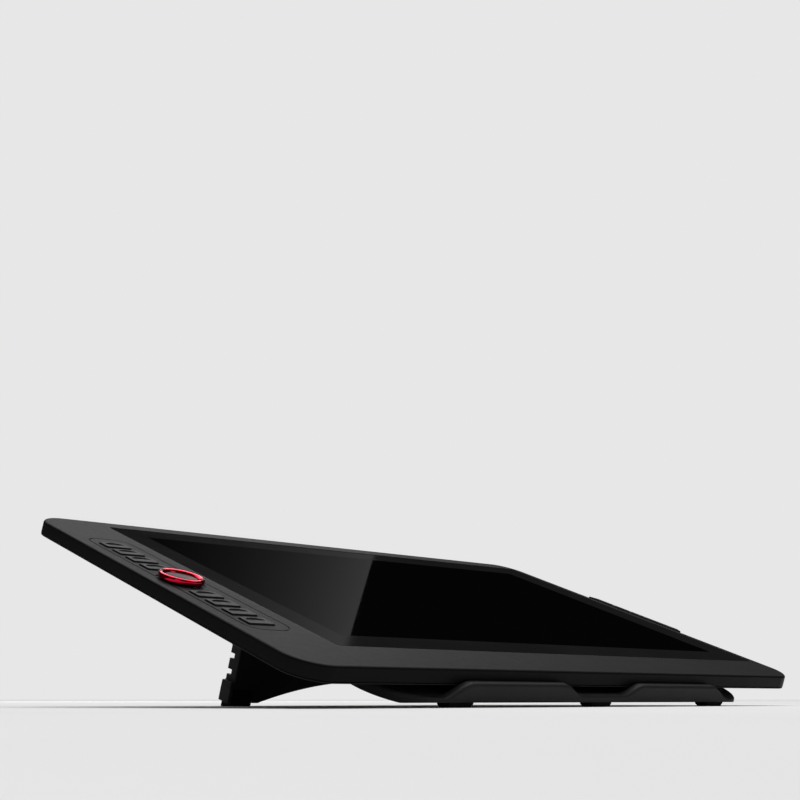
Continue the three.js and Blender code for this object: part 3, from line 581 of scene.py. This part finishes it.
def spans(loops, across, value):
    """Stretches inside loops of the line where one coordinate (0 x, 1 y) has a value."""
    crossings = []
    for loop in loops:
        for i, point in enumerate(loop):
            following = loop[(i + 1) % len(loop)]
            a, b = point[across] - value, following[across] - value
            if (a > 0) != (b > 0):
                crossings.append(point.lerp(following, a / (a - b))[1 - across])
    crossings.sort()
    return list(zip(crossings[::2], crossings[1::2]))


def without(stretches, hole):
    """Stretches with one interval taken out."""
    result = []
    for low, high in stretches:
        if hole[1] <= low or hole[0] >= high:
            result.append((low, high))
            continue
        if hole[0] > low:
            result.append((low, hole[0]))
        if hole[1] < high:
            result.append((hole[1], high))
    return result


def rib_grid(form, loops, pitch, start, extent, top, foot, thick, thin, bays=()):
    """Crossed ribs inside loops; bays are boxes (x0, x1, y0, y1) kept clear."""
    for across in (0, 1):
        value = start[across]
        while value < extent[across]:
            stretches = spans(loops, across, value)
            for bay in bays:
                limits = bay[2 * across:2 * across + 2]
                if limits[0] < value < limits[1]:
                    other = bay[2 - 2 * across:4 - 2 * across]
                    stretches = without(stretches, other)
            for low, high in stretches:
                if high - low < 0.8:
                    continue
                ends = [Vector((value, low)), Vector((value, high))]
                if across:
                    ends = [Vector((low, value)), Vector((high, value))]
                form.wall(ends[0], ends[1], top, foot, thick, thin)
            value += pitch[across]


def stand_plate():
    form = Form()
    outline = plate_outline()
    opening = opening_outline()[::-1]
    grips = [grip_outline(side, 0.3)[::-1] for side in SIDES]
    under, top = form.sweep(outline, plate_profile)
    edge = [(WALL, -SKIN), (WALL, -PLATE_DEPTH), (0.5, -PLATE_DEPTH), (0.1, -PLATE_DEPTH + 0.15),
            (0, -PLATE_DEPTH + 0.5)] + round_over(0, 0, 1.2)
    hole_under, hole_top = form.sweep(opening, edge)
    groove_tops = []
    for grip in grips:
        floor, rim = form.sweep(grip, [(0, -1.1), (0, -0.3), (0.3, 0)])
        form.fill(floor)
        groove_tops.append(rim)
    form.fill(top, hole_top, *groove_tops)
    form.fill(under, hole_under)
    plate_piece(form, "plate_shell")

    ribs = Form()
    inside = [offset_loop(outline, WALL * 0.6), offset_loop(opening, WALL * 0.6)]
    bays = [(*span(side, BAY_IN, BAY_OUT), BAY_LOW, BAY_HIGH) for side in SIDES]
    front_clear = (-HALF_WIDTH, HALF_WIDTH, PLATE_FRONT, PLATE_FRONT + FRONT_BAND - 1)
    root = -SKIN + RIB_SINK
    rib_grid(ribs, inside, RIB_PITCH, (-145.8, 10.8), (HALF_WIDTH, PLATE_BACK),
             root, lambda p: -PLATE_DEPTH + 0.15, RIB_TOP, RIB_FOOT, bays + [front_clear])
    for side in SIDES:
        lines = [((x, BAY_LOW), (x, BAY_HIGH)) for x in (BAY_IN, BAY_OUT)]
        lines += [((x0, y), (x1, y)) for x0, x1, y in (
            (BAY_IN, BAY_OUT, BAY_HIGH), (BAY_IN, TONGUE_ROOT, BAY_LOW),
            (OPENING_HALF, BAY_OUT, BAY_LOW))]
        for (x0, y0), (x1, y1) in lines:
            ribs.wall(Vector((side * x0, y0)), Vector((side * x1, y1)), root,
                      lambda p: -PLATE_DEPTH, BAY_RIB_TOP, BAY_RIB_FOOT)
    plate_piece(ribs, "plate_ribs")


def plate_piece(form, name):
    finish_piece(form, name, PLATE, "stand", STAND, ["stand_plate"])


def along_x(side, start):
    """Carries a form turned about z onto the hinge line, from start outwards."""
    turn = Matrix.Rotation(side * math.pi / 2, 4, "Y")
    return Matrix.Translation((side * start, HINGE_Y, HINGE_Z)) @ turn


def knuckle(side, count, start, name):
    """Ringed knuckle of the plate, with the web that carries it."""
    form = Form()
    profile = [(BORE, 0.3), (BORE + 0.3, 0)]
    soft = 0.35
    for ring in range(count):
        low, high = ring * RING_PITCH, ring * RING_PITCH + RING_WIDTH
        profile += [(KNUCKLE_RADIUS - soft, low), (KNUCKLE_RADIUS - 0.1, low + 0.1),
                    (KNUCKLE_RADIUS, low + soft), (KNUCKLE_RADIUS, high - soft),
                    (KNUCKLE_RADIUS - 0.1, high - 0.1), (KNUCKLE_RADIUS - soft, high)]
        if ring + 1 < count:
            profile += [(KNUCKLE_CORE + 0.2, high), (KNUCKLE_CORE, high + 0.2),
                        (KNUCKLE_CORE, low + RING_PITCH - 0.2),
                        (KNUCKLE_CORE + 0.2, low + RING_PITCH)]
    length = ring_run(count)
    profile += [(BORE + 0.3, length), (BORE, length - 0.3)]
    form.lathe(profile, 40)
    form.turn(along_x(side, start))
    ends = span(side, start + 0.2, start + length - 0.2)
    form.block(*ends, HINGE_Y - 2.5, HINGE_Y + 2.5, HINGE_Z + 2, -SKIN + 0.2)
    plate_piece(form, name)


def hinge_pin(side):
    form = Form()
    low, high = INNER_START - 0.3, OUTER_END - 0.6
    r, c = PIN_RADIUS, 0.35
    form.lathe([(0, low - 0.1), (r - c - 0.3, low - 0.1), (r - c, low), (r, low + c),
                (r, high - c), (r - c, high), (0, high)], 32)
    form.turn(along_x(side, 0))
    name = f"hinge_rod_{SIDE_NAMES[side]}"
    finish_piece(form, name, PLATE, "stand", STEEL, [f"hinge_pin_{SIDE_NAMES[side]}"])


def grip_strip(side):
    form = Form()
    form.slab(grip_outline(side), [(0.3, -1.05), (0, -0.8)] + round_over(0, 0.6, 0.45))
    name = f"grip_{SIDE_NAMES[side]}"
    finish_piece(form, name, PLATE, "stand", GRIP, [f"grip_strip_{SIDE_NAMES[side]}"])


def front_foot(label):
    """Small trapezoid foot under the front edge, from its CAD box."""
    low, high = (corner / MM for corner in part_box(f"front_foot_{label}"))
    form = Form()
    form.slab(soften([Vector(p) for p in ((low.x, low.y), (high.x, low.y),
                                          (high.x, high.y), (low.x, high.y))], 1.2),
              [(1.9, 0), (1.5, 0.12), (1.3, 0.4), (0.15, 1.7), (0, 2.0), (0, 2.6)])
    finish_piece(form, f"desk_foot_{label}", SCALE, "stand", RUBBER,
                 [f"front_foot_{label}"])


stand_plate()
for side in SIDES:
    for kind, count, start in (("inner", INNER_RINGS, INNER_START),
                               ("outer", OUTER_RINGS, SLEEVE_TO + RUNNING_GAP)):
        knuckle(side, count, start, f"knuckle_{kind}_{SIDE_NAMES[side]}")
    hinge_pin(side)
    grip_strip(side)
for label in ("left", "centre", "right"):
    front_foot(label)

# ---------------------------------------------------------------- leg
LEG_HALF, LEG_FRONT, LEG_BACK, LEG_SKIN = 111, 7, -3, 2
LEG_TOP, LEG_LOW, ANKLE_HALF, ANKLE_TOP, ARCH_TOP = -6, -66, 113.6, -53, -51.5
WINDOW_TOP_HALF, WINDOW_LOW_HALF, WINDOW_LOW, WINDOW_ROUND = 72.4, 69, -30, 9
ARCH_HALF, BOOT_IN, BOOT_OUT, BOOT_TOP = 89.5, 94.7, 111, -58
NOTCHES, NOTCH_TOP = ((-49.5, -46), (-39.5, -36)), 1.5  # slots in the rear of the outer edges
CLIP = (-31, -18)  # raised strip on the leg's outer edges
LEG_WALL = 2.2


def leg_side():
    """The right-hand edge of the leg, from its low corner up to the top of the window."""
    x = LEG_HALF
    points = [(ARCH_HALF, LEG_LOW), (BOOT_IN - 0.3, LEG_LOW), (BOOT_IN - 0.3, BOOT_TOP + 0.3),
              (ANKLE_HALF, BOOT_TOP + 0.3), (ANKLE_HALF, ANKLE_TOP), (x, ANKLE_TOP)]
    points += [(x, CLIP[0]), (x + 0.7, CLIP[0]), (x + 0.7, CLIP[1]), (x, CLIP[1])]
    points += [(x, LEG_TOP), (WINDOW_TOP_HALF, LEG_TOP)]
    return [Vector(p) for p in points]


def leg_arch(steps=40):
    """The leg's arched foot line between its boots."""
    xs = (ARCH_HALF * (2 * k / steps - 1) for k in range(1, steps))
    return [Vector((x, ARCH_TOP + (LEG_LOW - ARCH_TOP) * (x / ARCH_HALF) ** 2)) for x in xs]


def leg_outline():
    right = leg_side()
    left = [Vector((-p.x, p.y)) for p in reversed(right)]
    corner = Vector((WINDOW_LOW_HALF, WINDOW_LOW))
    a = corner + Vector((0.6, WINDOW_ROUND))
    b = corner - Vector((WINDOW_ROUND, 0))
    bend = [a] + curve(a, a - Vector((0.2, 5)), b + Vector((5, 0)), b, 8)
    window = bend + [Vector((-p.x, p.y)) for p in reversed(bend)]
    return soften(leg_arch() + right + window + left, 0.8, 3)


def leg_piece(form, name):
    return finish_piece(form, name, LEG, "leg", STAND, ["stand_leg"])


def stand_leg():
    outline = leg_outline()
    skin = LEG_FRONT - LEG_SKIN
    form = Form()
    section = [(LEG_WALL, skin), (LEG_WALL, LEG_BACK), (0.4, LEG_BACK), (0.1, LEG_BACK + 0.12),
               (0, LEG_BACK + 0.4)] + round_over(0, LEG_FRONT, 0.9)
    form.slab(outline, section)
    piece = leg_piece(form, "leg_shell")
    cutter = Form()
    for side in SIDES:
        ends = span(side, LEG_HALF - 4, LEG_HALF + 2)
        for low, high in NOTCHES:
            cutter.block(*ends, low, high, LEG_BACK - 1, NOTCH_TOP)
    carve(piece, cutter, LEG)

    ribs = Form()
    rib_grid(ribs, [offset_loop(outline, LEG_WALL * 0.6)], RIB_PITCH, (-113.4, -60),
             (LEG_HALF, LEG_TOP), skin + RIB_SINK, lambda p: LEG_BACK + 0.2, RIB_TOP, RIB_FOOT)
    for side in SIDES:
        edge = span(side, BOOT_OUT + 0.3, ANKLE_HALF)
        ribs.block(*edge, LEG_LOW, BOOT_TOP + 1, LEG_BACK, LEG_FRONT)
        tenon = span(side, BOOT_IN + 2, BOOT_OUT - 2)
        ribs.block(*tenon, LEG_LOW + 3, BOOT_TOP + 1, 0, 4)
    bevel(leg_piece(ribs, "leg_ribs"), 0.15, 1)

    for side in SIDES:
        leg_sleeve(side)
        boot(side)


def leg_sleeve(side):
    """Smooth hinge sleeve, its bore, and the neck that runs into the leg's top."""
    form = Form()
    low, high = SLEEVE_FROM, SLEEVE_TO
    r, c = KNUCKLE_RADIUS, 0.4
    form.lathe([(BORE, low + 0.3), (BORE + 0.3, low), (r - c, low), (r - 0.1, low + 0.1),
                (r, low + c), (r, high - c), (r - 0.1, high - 0.1), (r - c, high),
                (BORE + 0.3, high), (BORE, high - 0.3)], 48)
    form.turn(Matrix.Rotation(side * math.pi / 2, 4, "Y"))
    neck = [Vector(p) for p in ((-0.5, 4.4), (-3, 4.2), (-8, 5.2), (-8, -2.9), (-3, -3.2),
                                (-0.5, -4.4))]
    ends = span(side, low + 0.3, high - 0.3)
    form.tube(*(form.ring([(x, p.x, p.y) for p in neck]) for x in ends))
    leg_piece(form, f"leg_sleeve_{SIDE_NAMES[side]}")


def boot(side):
    """Rubber boot on a bottom corner of the leg, with its sole level on the desk."""
    def sole(z):
        return -(HINGE_HEIGHT - z * math.sin(LEAN)) / math.cos(LEAN)
    form = Form()
    section = [(BOOT_TOP, LEG_FRONT), (BOOT_TOP, LEG_BACK), (sole(LEG_BACK), LEG_BACK),
               (sole(LEG_FRONT), LEG_FRONT)]
    ends = span(side, BOOT_IN, BOOT_OUT)
    form.tube(*(form.ring([(x, y, z) for y, z in section]) for x in ends))
    name = SIDE_NAMES[side]
    piece = finish_piece(form, f"leg_boot_{name}", LEG, "leg", RUBBER, [f"leg_foot_{name}"])
    bevel(piece, 0.7, 3)


stand_leg()

# ---------------------------------------------------------------- tablet casing
WIDTH, HEIGHT, THICK, CORNER = 443.2, 280, 12.9, 20
SIDE_LOW, TABLET_WALL, FACE = 5, 2, 2.5
GLASS = (46.5, 437, 32.5, 266.7)
ACTIVE = (64.3, 413, 51.5, 248.4)
GLASS_LOW, GLASS_TOP, RECESS = 11.5, 12.7, 11.2
PANEL, PANEL_ROUND = (8, 37, 54, 230), 10
KEY_BOX, KEY_HALF, KEY_PITCH, KEY_FIRST, KEY_TOP = (12, 28.5), 5.25, 15.5, 26, 13.8
DIAL_RADIUS, DIAL_BOWL, DIAL_LOW, DIAL_HIGH = 13, 9.8, 13.2, 16.8
STRIP_FROM, STRIP_TO, STRIP_PROUD, STRIP_LOW, STRIP_HIGH, STRIP_BEVEL = 98, 189, 4.7, 5.6, 13.6, 6
BUTTONS = {"power_button": 164, "brightness_up_button": 148, "brightness_down_button": 134}
BUTTON_Z, BUTTON_HALF, BUTTON_HALF_HEIGHT, BUTTON_PROUD = 8.8, 5, 1.5, 0.5
SCREWS = [(x, y) for y in (22, 267) for x in (40, 221.6, 403)]
USB_Y, USB_Z, USB_HALF, USB_HALF_HEIGHT = 222, 8, 4.5, 1.6
key_rows = sorted((DIAL_Y + side * (KEY_FIRST + i * KEY_PITCH) for side in SIDES for i in range(4)),
                  reverse=True)


def front_frame():
    form = Form()
    under = THICK - FACE
    outline = rounded_rect(0, WIDTH, 0, HEIGHT, CORNER, steps=28)
    section = [(TABLET_WALL, under), (TABLET_WALL, SIDE_LOW), (0.35, SIDE_LOW), (0, SIDE_LOW + 0.3)]
    section += round_over(0, THICK, 1.5, 6)
    under_ring, top_ring = form.sweep(outline, section)
    # The outer and inner wall faces take the darker copy of the frame plastic as painted shade, so
    # the sides look darker than the top
    for face in form.mesh.faces:
        face.material_index = int(all(corner.co.z < THICK - 0.4 for corner in face.verts))
    window = rounded_rect(GLASS[0] - 0.3, GLASS[1] + 0.3, GLASS[2] - 0.3, GLASS[3] + 0.3, 3)[::-1]
    window_under, window_top = form.sweep(
        window, [(-2.6, under), (-2.6, RECESS), (0, RECESS), (0, THICK - 0.25), (0.25, THICK)])
    x0, x1, y0, y1 = PANEL
    groove_out = rounded_rect(x0, x1, y0, y1, PANEL_ROUND, steps=12)
    groove_in = rounded_rect(x0 + 0.7, x1 - 0.7, y0 + 0.7, y1 - 0.7, PANEL_ROUND - 0.7, steps=12)
    groove = [(0, THICK - 0.45), (0, THICK - 0.12), (0.12, THICK)]
    floor_out, rim_out = form.sweep(groove_out[::-1], groove)
    floor_in, rim_in = form.sweep(groove_in, groove)
    form.bridge(floor_out[::-1], floor_in)
    form.fill(top_ring, window_top, rim_out)
    inner_rims = [rim_in]
    under_rings = [under_ring, window_under]
    for y in key_rows:
        hole = rounded_rect(KEY_BOX[0] - 0.35, KEY_BOX[1] + 0.35, y - KEY_HALF - 0.35,
                            y + KEY_HALF + 0.35, 1.2, steps=4)[::-1]
        low, high = form.sweep(hole, [(0, under), (0, THICK - 0.2), (0.2, THICK)])
        inner_rims.append(high)
        under_rings.append(low)
    seat_floor, seat_rim = form.sweep(circle(DIAL_X, DIAL_Y, DIAL_RADIUS + 0.9, 72)[::-1],
                                      [(0, THICK - 0.6), (0, THICK - 0.25), (0.25, THICK)])
    shaft_under, shaft_rim = form.sweep(circle(DIAL_X, DIAL_Y, 3.5, 24)[::-1],
                                        [(0, under), (0, THICK - 0.6)])
    form.fill(seat_floor, shaft_rim)
    form.fill(*inner_rims, seat_rim)
    form.fill(*under_rings, shaft_under)
    piece = finish_piece(form, "bezel", TABLET, "tablet", [SHELL, SIDE_SHADE_PLASTIC], ["front_frame"])
    cutter = Form()
    mouth = rounded_rect(-USB_HALF - 0.3, USB_HALF + 0.3, -USB_HALF_HEIGHT - 0.3,
                         USB_HALF_HEIGHT + 0.3, 1.5)
    cutter.tube(*(cutter.ring([(x, USB_Y + p.x, USB_Z + p.y) for p in mouth])
                  for x in (WIDTH - 3, WIDTH + 2)))
    for y in BUTTONS.values():
        cutter.block(WIDTH - 3, WIDTH + 2, y - BUTTON_HALF + 2, y + BUTTON_HALF - 2,
                     BUTTON_Z - 1.3, BUTTON_Z + 1.3)
    carve(piece, cutter, TABLET)


def cover_glass():
    """The glass: a printed border, and the black display inside it."""
    form = Form()
    outline = rounded_rect(*GLASS, 2.7)
    low, high = form.sweep(outline, [(0.2, GLASS_LOW), (0, GLASS_LOW + 0.2)]
                           + round_over(0, GLASS_TOP, 0.35, 4))
    x0, x1, y0, y1 = ACTIVE
    active = form.ring([(x, y, GLASS_TOP) for x, y in ((x0, y0), (x1, y0), (x1, y1), (x0, y1))])
    form.fill(low)
    form.fill(high, active)
    form.fill(active, slot=1)
    finish_piece(form, "glass_pane", TABLET, "tablet", [BORDER, DISPLAY], ["cover_glass"])


def back_cover():
    form = Form()
    outline = rounded_rect(0, WIDTH, 0, HEIGHT, CORNER, steps=24)
    form.slab(outline, [(17, 3.0), (2.0, 4.7), (0.2, 4.7), (0.1, 4.62), (0.1, 4.45),
                        (0.2, 4.2), (14.6, 1.72), (15.8, 1.54), (16.8, 1.5)])
    piece = finish_piece(form, "rear_shell", TABLET, "tablet", COVER, ["back_cover"])
    cutter = Form()
    for x, y in SCREWS:
        floor = 2.85 if y < HEIGHT / 2 else 3.2
        cutter.slab(circle(x, y, 2.6, 32), [(0, 0), (0, floor)])
    carve(piece, cutter, TABLET)


def case_screw(index, x, y):
    """Pan-headed screw with a cross recess, seen from below."""
    form = Form()
    head = circle(0, 0, 2.2, 32)
    low, high = form.sweep(head, [(0.1, -3.2), (0, -3.0)] + round_over(0, -2.4, 0.4, 4))
    a, b = 0.32, 1.2
    cross = [(b, -a), (b, a), (a, a), (a, b), (-a, b), (-a, a), (-b, a), (-b, -a), (-a, -a),
             (-a, -b), (a, -b), (a, -a)]
    floor, rim = form.sweep([Vector(p) for p in cross][::-1], [(-0.1, -3.0), (0, -2.4)])
    form.fill(low)
    form.fill(high, rim)
    form.fill(floor)
    form.slab(circle(0, 0, 0.9, 16), [(0, -9), (0, -3.15)])
    form.turn(Matrix.Translation((x, y, 0)) @ FLIP)
    finish_piece(form, f"screw_{index}", TABLET, "tablet", STEEL, [f"case_screw_{index}"])


def rear_foot(index):
    low, high = (TABLET.inverted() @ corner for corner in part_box(f"rear_foot_{index}"))
    middle = (low + high) / 2
    form = Form()
    pad = rounded_rect(middle.x - 8, middle.x + 8, middle.y - 15, middle.y + 15, 5)
    form.slab(pad, [(1.2, 0), (0.5, 0.1), (0.1, 0.4), (0, 0.7), (0, 1.3)])
    finish_piece(form, f"rear_pad_{index}", TABLET, "tablet", RUBBER, [f"rear_foot_{index}"])


front_frame()
cover_glass()
back_cover()
for number, (x, y) in enumerate(SCREWS, 1):
    case_screw(number, x, y)
for number in range(1, 5):
    rear_foot(number)


# ---------------------------------------------------------------- keys and dial
def shortcut_key(index, y):
    """Key cap with a soft edge and a shallow oval finger dish."""
    form = Form()
    loop = rounded_rect(KEY_BOX[0], KEY_BOX[1], y - KEY_HALF, y + KEY_HALF, 1, steps=5)
    low, high = form.sweep(loop, [(0, 9.2)] + round_over(0, KEY_TOP, 0.3, 4))
    middle = (KEY_BOX[0] + KEY_BOX[1]) / 2
    rings = []
    for scale, depth, drift in ((1, 0, 0), (0.96, 0.1, 0.03), (0.88, 0.55, 0.12), (0.76, 0.8, 0.2),
                                (0.5, 0.86, 0.3), (0.2, 0.86, 0.35)):
        oval = []
        for k in range(36):
            turn = 2 * math.pi * k / 36
            rise = math.sin(turn)
            fall = depth * (0.55 + 0.45 * rise)
            oval.append((middle + 6.6 * scale * math.cos(turn),
                         y + 0.5 + drift + 3.6 * scale * rise, KEY_TOP - fall))
        rings.append(form.ring(oval))
    for outer, inner in zip(rings, rings[1:]):
        form.bridge(outer, inner)
    form.fill(low)
    form.fill(high, rings[0])
    form.mesh.faces.new(rings[-1])
    name = f"key_{index}"
    finish_piece(form, f"cap_{name}", TABLET, name, KEY, [name])


def dial():
    place = Matrix.Translation((DIAL_X, DIAL_Y, 0))
    ring = Form()
    outer, inner, low, high = DIAL_RADIUS, DIAL_BOWL, DIAL_LOW, DIAL_HIGH
    profile = [(inner, low + 0.2), (outer - 1.2, low), (outer - 0.5, low + 0.25),
               (outer, low + 1.0), (outer, high - 1.4), (outer - 0.15, high - 0.75),
               (outer - 0.45, high - 0.3),
               (outer - 0.85, high - 0.05), (outer - 1.2, high), (outer - 1.7, high - 0.1),
               (outer - 2.2, high - 0.4), (outer - 2.75, high - 1.0), (inner, high - 1.5)]
    ring.lathe(profile, 128)
    ring.turn(place)
    finish_piece(ring, "dial_rim", TABLET, "dial", CRIMSON, ["dial_ring"])
    cap = Form()
    edge = inner - 0.3
    cap.lathe([(0, 14.2), (edge - 0.2, 14.2), (edge, 14.4), (edge, 14.95), (edge - 0.2, 15.25),
               (edge - 0.6, 15.3), (edge - 1.1, 15.2), (6, 14.95), (3.5, 14.8), (0, 14.7)], 96)
    cap.turn(place)
    finish_piece(cap, "dial_dish", TABLET, "dial", CAP, ["dial_cap"])


for number, y in enumerate(key_rows, 1):
    shortcut_key(number, y)
dial()


# ---------------------------------------------------------------- side control strip
def control_strip():
    x0 = WIDTH + 0.3
    x1 = x0 + STRIP_PROUD
    corners = [(x0, STRIP_FROM), (x1, STRIP_FROM + STRIP_BEVEL), (x1, STRIP_TO - STRIP_BEVEL),
               (x0, STRIP_TO)]
    form = Form()
    form.slab(soften([Vector(p) for p in corners], 1.6), [(0.5, STRIP_LOW), (0.1, STRIP_LOW + 0.1),
              (0, STRIP_LOW + 0.5)] + round_over(0, STRIP_HIGH, 0.8, 5))
    piece = finish_piece(form, "side_strip", TABLET, "tablet", SHELL, ["control_strip"])
    cutter = Form()
    for y in BUTTONS.values():
        loop = rounded_rect(-BUTTON_HALF - 0.3, BUTTON_HALF + 0.3, -BUTTON_HALF_HEIGHT - 0.3,
                            BUTTON_HALF_HEIGHT + 0.3, 1.5, steps=6)
        cutter.tube(*(cutter.ring([(x, y + p.x, BUTTON_Z + p.y) for p in loop])
                      for x in (x0 - 1, x1 + 1)))
    carve(piece, cutter, TABLET)


def side_button(name, y):
    form = Form()
    x1 = WIDTH + 0.3 + STRIP_PROUD + BUTTON_PROUD
    loop = rounded_rect(-BUTTON_HALF, BUTTON_HALF, -BUTTON_HALF_HEIGHT, BUTTON_HALF_HEIGHT, 1.3,
                        steps=6)
    rings = []
    for x, inset in ((WIDTH + 1.3, 0), (x1 - 0.4, 0), (x1 - 0.15, 0.1), (x1, 0.4)):
        rings.append(form.ring([(x, y + p.x, BUTTON_Z + p.y) for p in offset_loop(loop, inset)]))
    form.tube(*rings)
    form.block(WIDTH - 7, WIDTH + 1.4, y - BUTTON_HALF + 2.3, y + BUTTON_HALF - 2.3,
               BUTTON_Z - 1, BUTTON_Z + 1)
    finish_piece(form, f"cap_{name}", TABLET, name, KEY, [name])


def strip_marks():
    """Plain printed signs beside the side buttons: a ring, a plus and a minus."""
    form = Form()
    x = WIDTH + 0.3 + STRIP_PROUD / 2
    low, high, w, r = STRIP_HIGH - 0.05, STRIP_HIGH + 0.03, 0.18, 0.9
    power, plus, minus = BUTTONS.values()
    outer, inner = circle(x, power, r, 28), circle(x, power, r - 2 * w, 28)
    rings = [form.ring([(p.x, p.y, z) for p in loop])
             for loop in (outer, inner) for z in (low, high)]
    form.bridge(rings[0], rings[1])
    form.bridge(rings[2], rings[3])
    form.bridge(rings[0], rings[2])
    form.bridge(rings[1], rings[3])
    for y in (plus, minus):
        form.block(x - r, x + r, y - w, y + w, low, high)
    form.block(x - w, x + w, plus - r, plus - w, low, high)
    form.block(x - w, x + w, plus + w, plus + r, low, high)
    finish_piece(form, "strip_signs", TABLET, "tablet", MARK, ())


control_strip()
for name, y in BUTTONS.items():
    side_button(name, y)
strip_marks()

# ---------------------------------------------------------------- pieces kept from the frame
KEPT = {"lcd_panel": DISPLAY, "backlight_unit": LIGHT_GUIDE, "digitizer_board": BOARD,
        "shield_plate": ALUMINIUM, "main_board": BOARD, "key_board": BOARD,
        "key_dome_sheet": SILICONE, "side_button_board": BOARD, "screen_ribbon": FILM,
        "key_ribbon": FILM, "usb_port": STEEL, "dial_encoder": STEEL, "dial_shaft": STEEL}
for name, material in KEPT.items():
    node = nodes[name]
    node.data.materials.clear()
    node.data.materials.append(material)
    bevel(node, 0.12, 2)

# ---------------------------------------------------------------- floor, light and camera
BACKDROP, DOME, GLOSSY_DOME = 0.799, 0.15, 0.03  # what the camera, matt and glossy surfaces see
PANEL_SIZE, PANEL_POWER, PANEL_DISTANCE = (1.3, 1.5), 6.0, 3.0  # metres, watts, metres
PANEL_FADE = 5.0  # how fast the panel dims away from its bright edge
CUT_LOW, CUT_HIGH = (0.669, 0.654, 0.353), (0.663, 0.635, 0.396)  # ways to that edge's ends
PANEL_WAY = (0.56, 0.72, 0.40)  # way to the panel
LENS, SENSOR = 57.9, 36
CAMERA_BACK, CAMERA_HEIGHT = (-0.6109, -0.4647), 0.0043  # metres from the plate's front middle
CAMERA_PITCH, CAMERA_YAW = 103.09, -44.29


def studio_floor():
    material, tree, shader, where = new_material("studio_floor")
    tone = tint(tree, remap(tree, noise(tree, where, 3, 4), 0, 1), (0.76,) * 3, (0.79,) * 3)
    feed(tree, shader, {"Base Color": tone, "Roughness": 0.9, "Specular IOR Level": 0.05})
    bm = bmesh.new()
    bmesh.ops.create_circle(bm, cap_ends=True, segments=96, radius=14)
    data = mesh_of(bm, "studio_floor")
    data.materials.append(material)
    add_object("studio_floor", data)


def studio_world():
    """An even pale grey behind the object, and a much dimmer dome that lights it."""
    world = bpy.data.worlds.new("studio")
    bpy.context.scene.world = world
    world.use_nodes = True
    tree = world.node_tree
    tree.nodes.clear()
    path = add_node(tree, "LightPath")
    output = add_node(tree, "OutputWorld")
    shader = None
    for ray, strength in ((None, DOME), ("Is Glossy Ray", GLOSSY_DOME),
                          ("Is Camera Ray", BACKDROP)):
        plain = add_node(tree, "Background", {"Color": (1, 1, 1, 1), "Strength": strength})
        if ray:
            blend = add_node(tree, "MixShader", {"Fac": path.outputs[ray]})
            tree.links.new(shader, blend.inputs[1])
            tree.links.new(plain.outputs["Background"], blend.inputs[2])
            shader = blend.outputs["Shader"]
        else:
            shader = plain.outputs["Background"]
    tree.links.new(shader, output.inputs["Surface"])


def overhead_light(strength, direction, angle):
    """Very soft, even light from far above, the same over the whole floor."""
    data = bpy.data.lights.new("overhead_light", "SUN")
    data.energy = strength
    data.angle = math.radians(angle)
    aim(add_object("overhead_light", data), -Vector(direction))


def area_light(name, size, power):
    data = bpy.data.lights.new(name, "AREA")
    data.shape = "RECTANGLE"
    data.size, data.size_y = size
    data.energy = power
    return add_object(name, data)


def aim(light, way):
    light.rotation_euler = way.to_track_quat("-Z", "Y").to_euler()


def reflected_panel():
    """Dim panel, mirrored in the glass: it fades away from one sharp, slightly leaning edge."""
    panel = area_light("reflected_panel", PANEL_SIZE, PANEL_POWER)
    data = panel.data
    data.use_nodes = True
    tree = data.node_tree
    shader = tree.nodes["Emission"]
    place = add_node(tree, "NewGeometry")
    split = add_node(tree, "SeparateXYZ", {"Vector": place.outputs["Parametric"]})
    nearness, power = add_node(tree, "Math"), add_node(tree, "Math")
    nearness.operation, power.operation = "SUBTRACT", "POWER"
    nearness.inputs[0].default_value = 1.0
    tree.links.new(split.outputs["X"], nearness.inputs[1])
    tree.links.new(nearness.outputs["Value"], power.inputs[0])
    power.inputs[1].default_value = PANEL_FADE
    tree.links.new(power.outputs["Value"], shader.inputs["Strength"])
    panel.visible_camera = False
    low, high = Vector(CUT_LOW), Vector(CUT_HIGH)
    centre_way = Vector(PANEL_WAY).normalized()
    p_low = low * (PANEL_DISTANCE / low.dot(centre_way))
    p_high = high * (PANEL_DISTANCE / high.dot(centre_way))
    up = (p_high - p_low).normalized()
    across = up.cross(centre_way).normalized()
    middle = (p_low + p_high) / 2 + across * (data.size / 2)
    facing = Matrix((across, up, across.cross(up))).transposed()
    panel.matrix_world = Matrix.Translation(middle) @ facing.to_4x4()


def soft_light(name, place, target, size, power):
    light = area_light(name, size, power)
    light.location = place
    aim(light, Vector(target) - Vector(place))


def studio_camera():
    """Low three-quarter view from the user's left, just above the desk."""
    data = bpy.data.cameras.new("camera")
    data.lens, data.sensor_width = LENS, SENSOR
    camera = add_object("camera", data)
    camera.location = (plate_place.x + CAMERA_BACK[0], plate_place.y + CAMERA_BACK[1],
                       CAMERA_HEIGHT)
    camera.rotation_euler = (math.radians(CAMERA_PITCH), 0, math.radians(CAMERA_YAW))
    data.clip_start, data.clip_end = 0.01, 60
    bpy.context.scene.camera = camera
    bpy.context.scene.view_settings.view_transform = "Standard"


studio_floor()
studio_world()
overhead_light(2.78, (0.25, 0.35, 0.9), 60)
soft_light("front_light", (0.25, -0.55, 0.55), (0.1, -0.1, 0.03), (0.35, 0.25), 0.5)
soft_light("left_light", (-1.3, -1.0, 0.4), (-0.1, 0, 0.03), (0.7, 0.5), 1.2)
soft_light("rear_light", (0.8, 1.7, 0.55), (0, 0.1, 0.04), (0.8, 0.5), 3.0)
reflected_panel()
studio_camera()
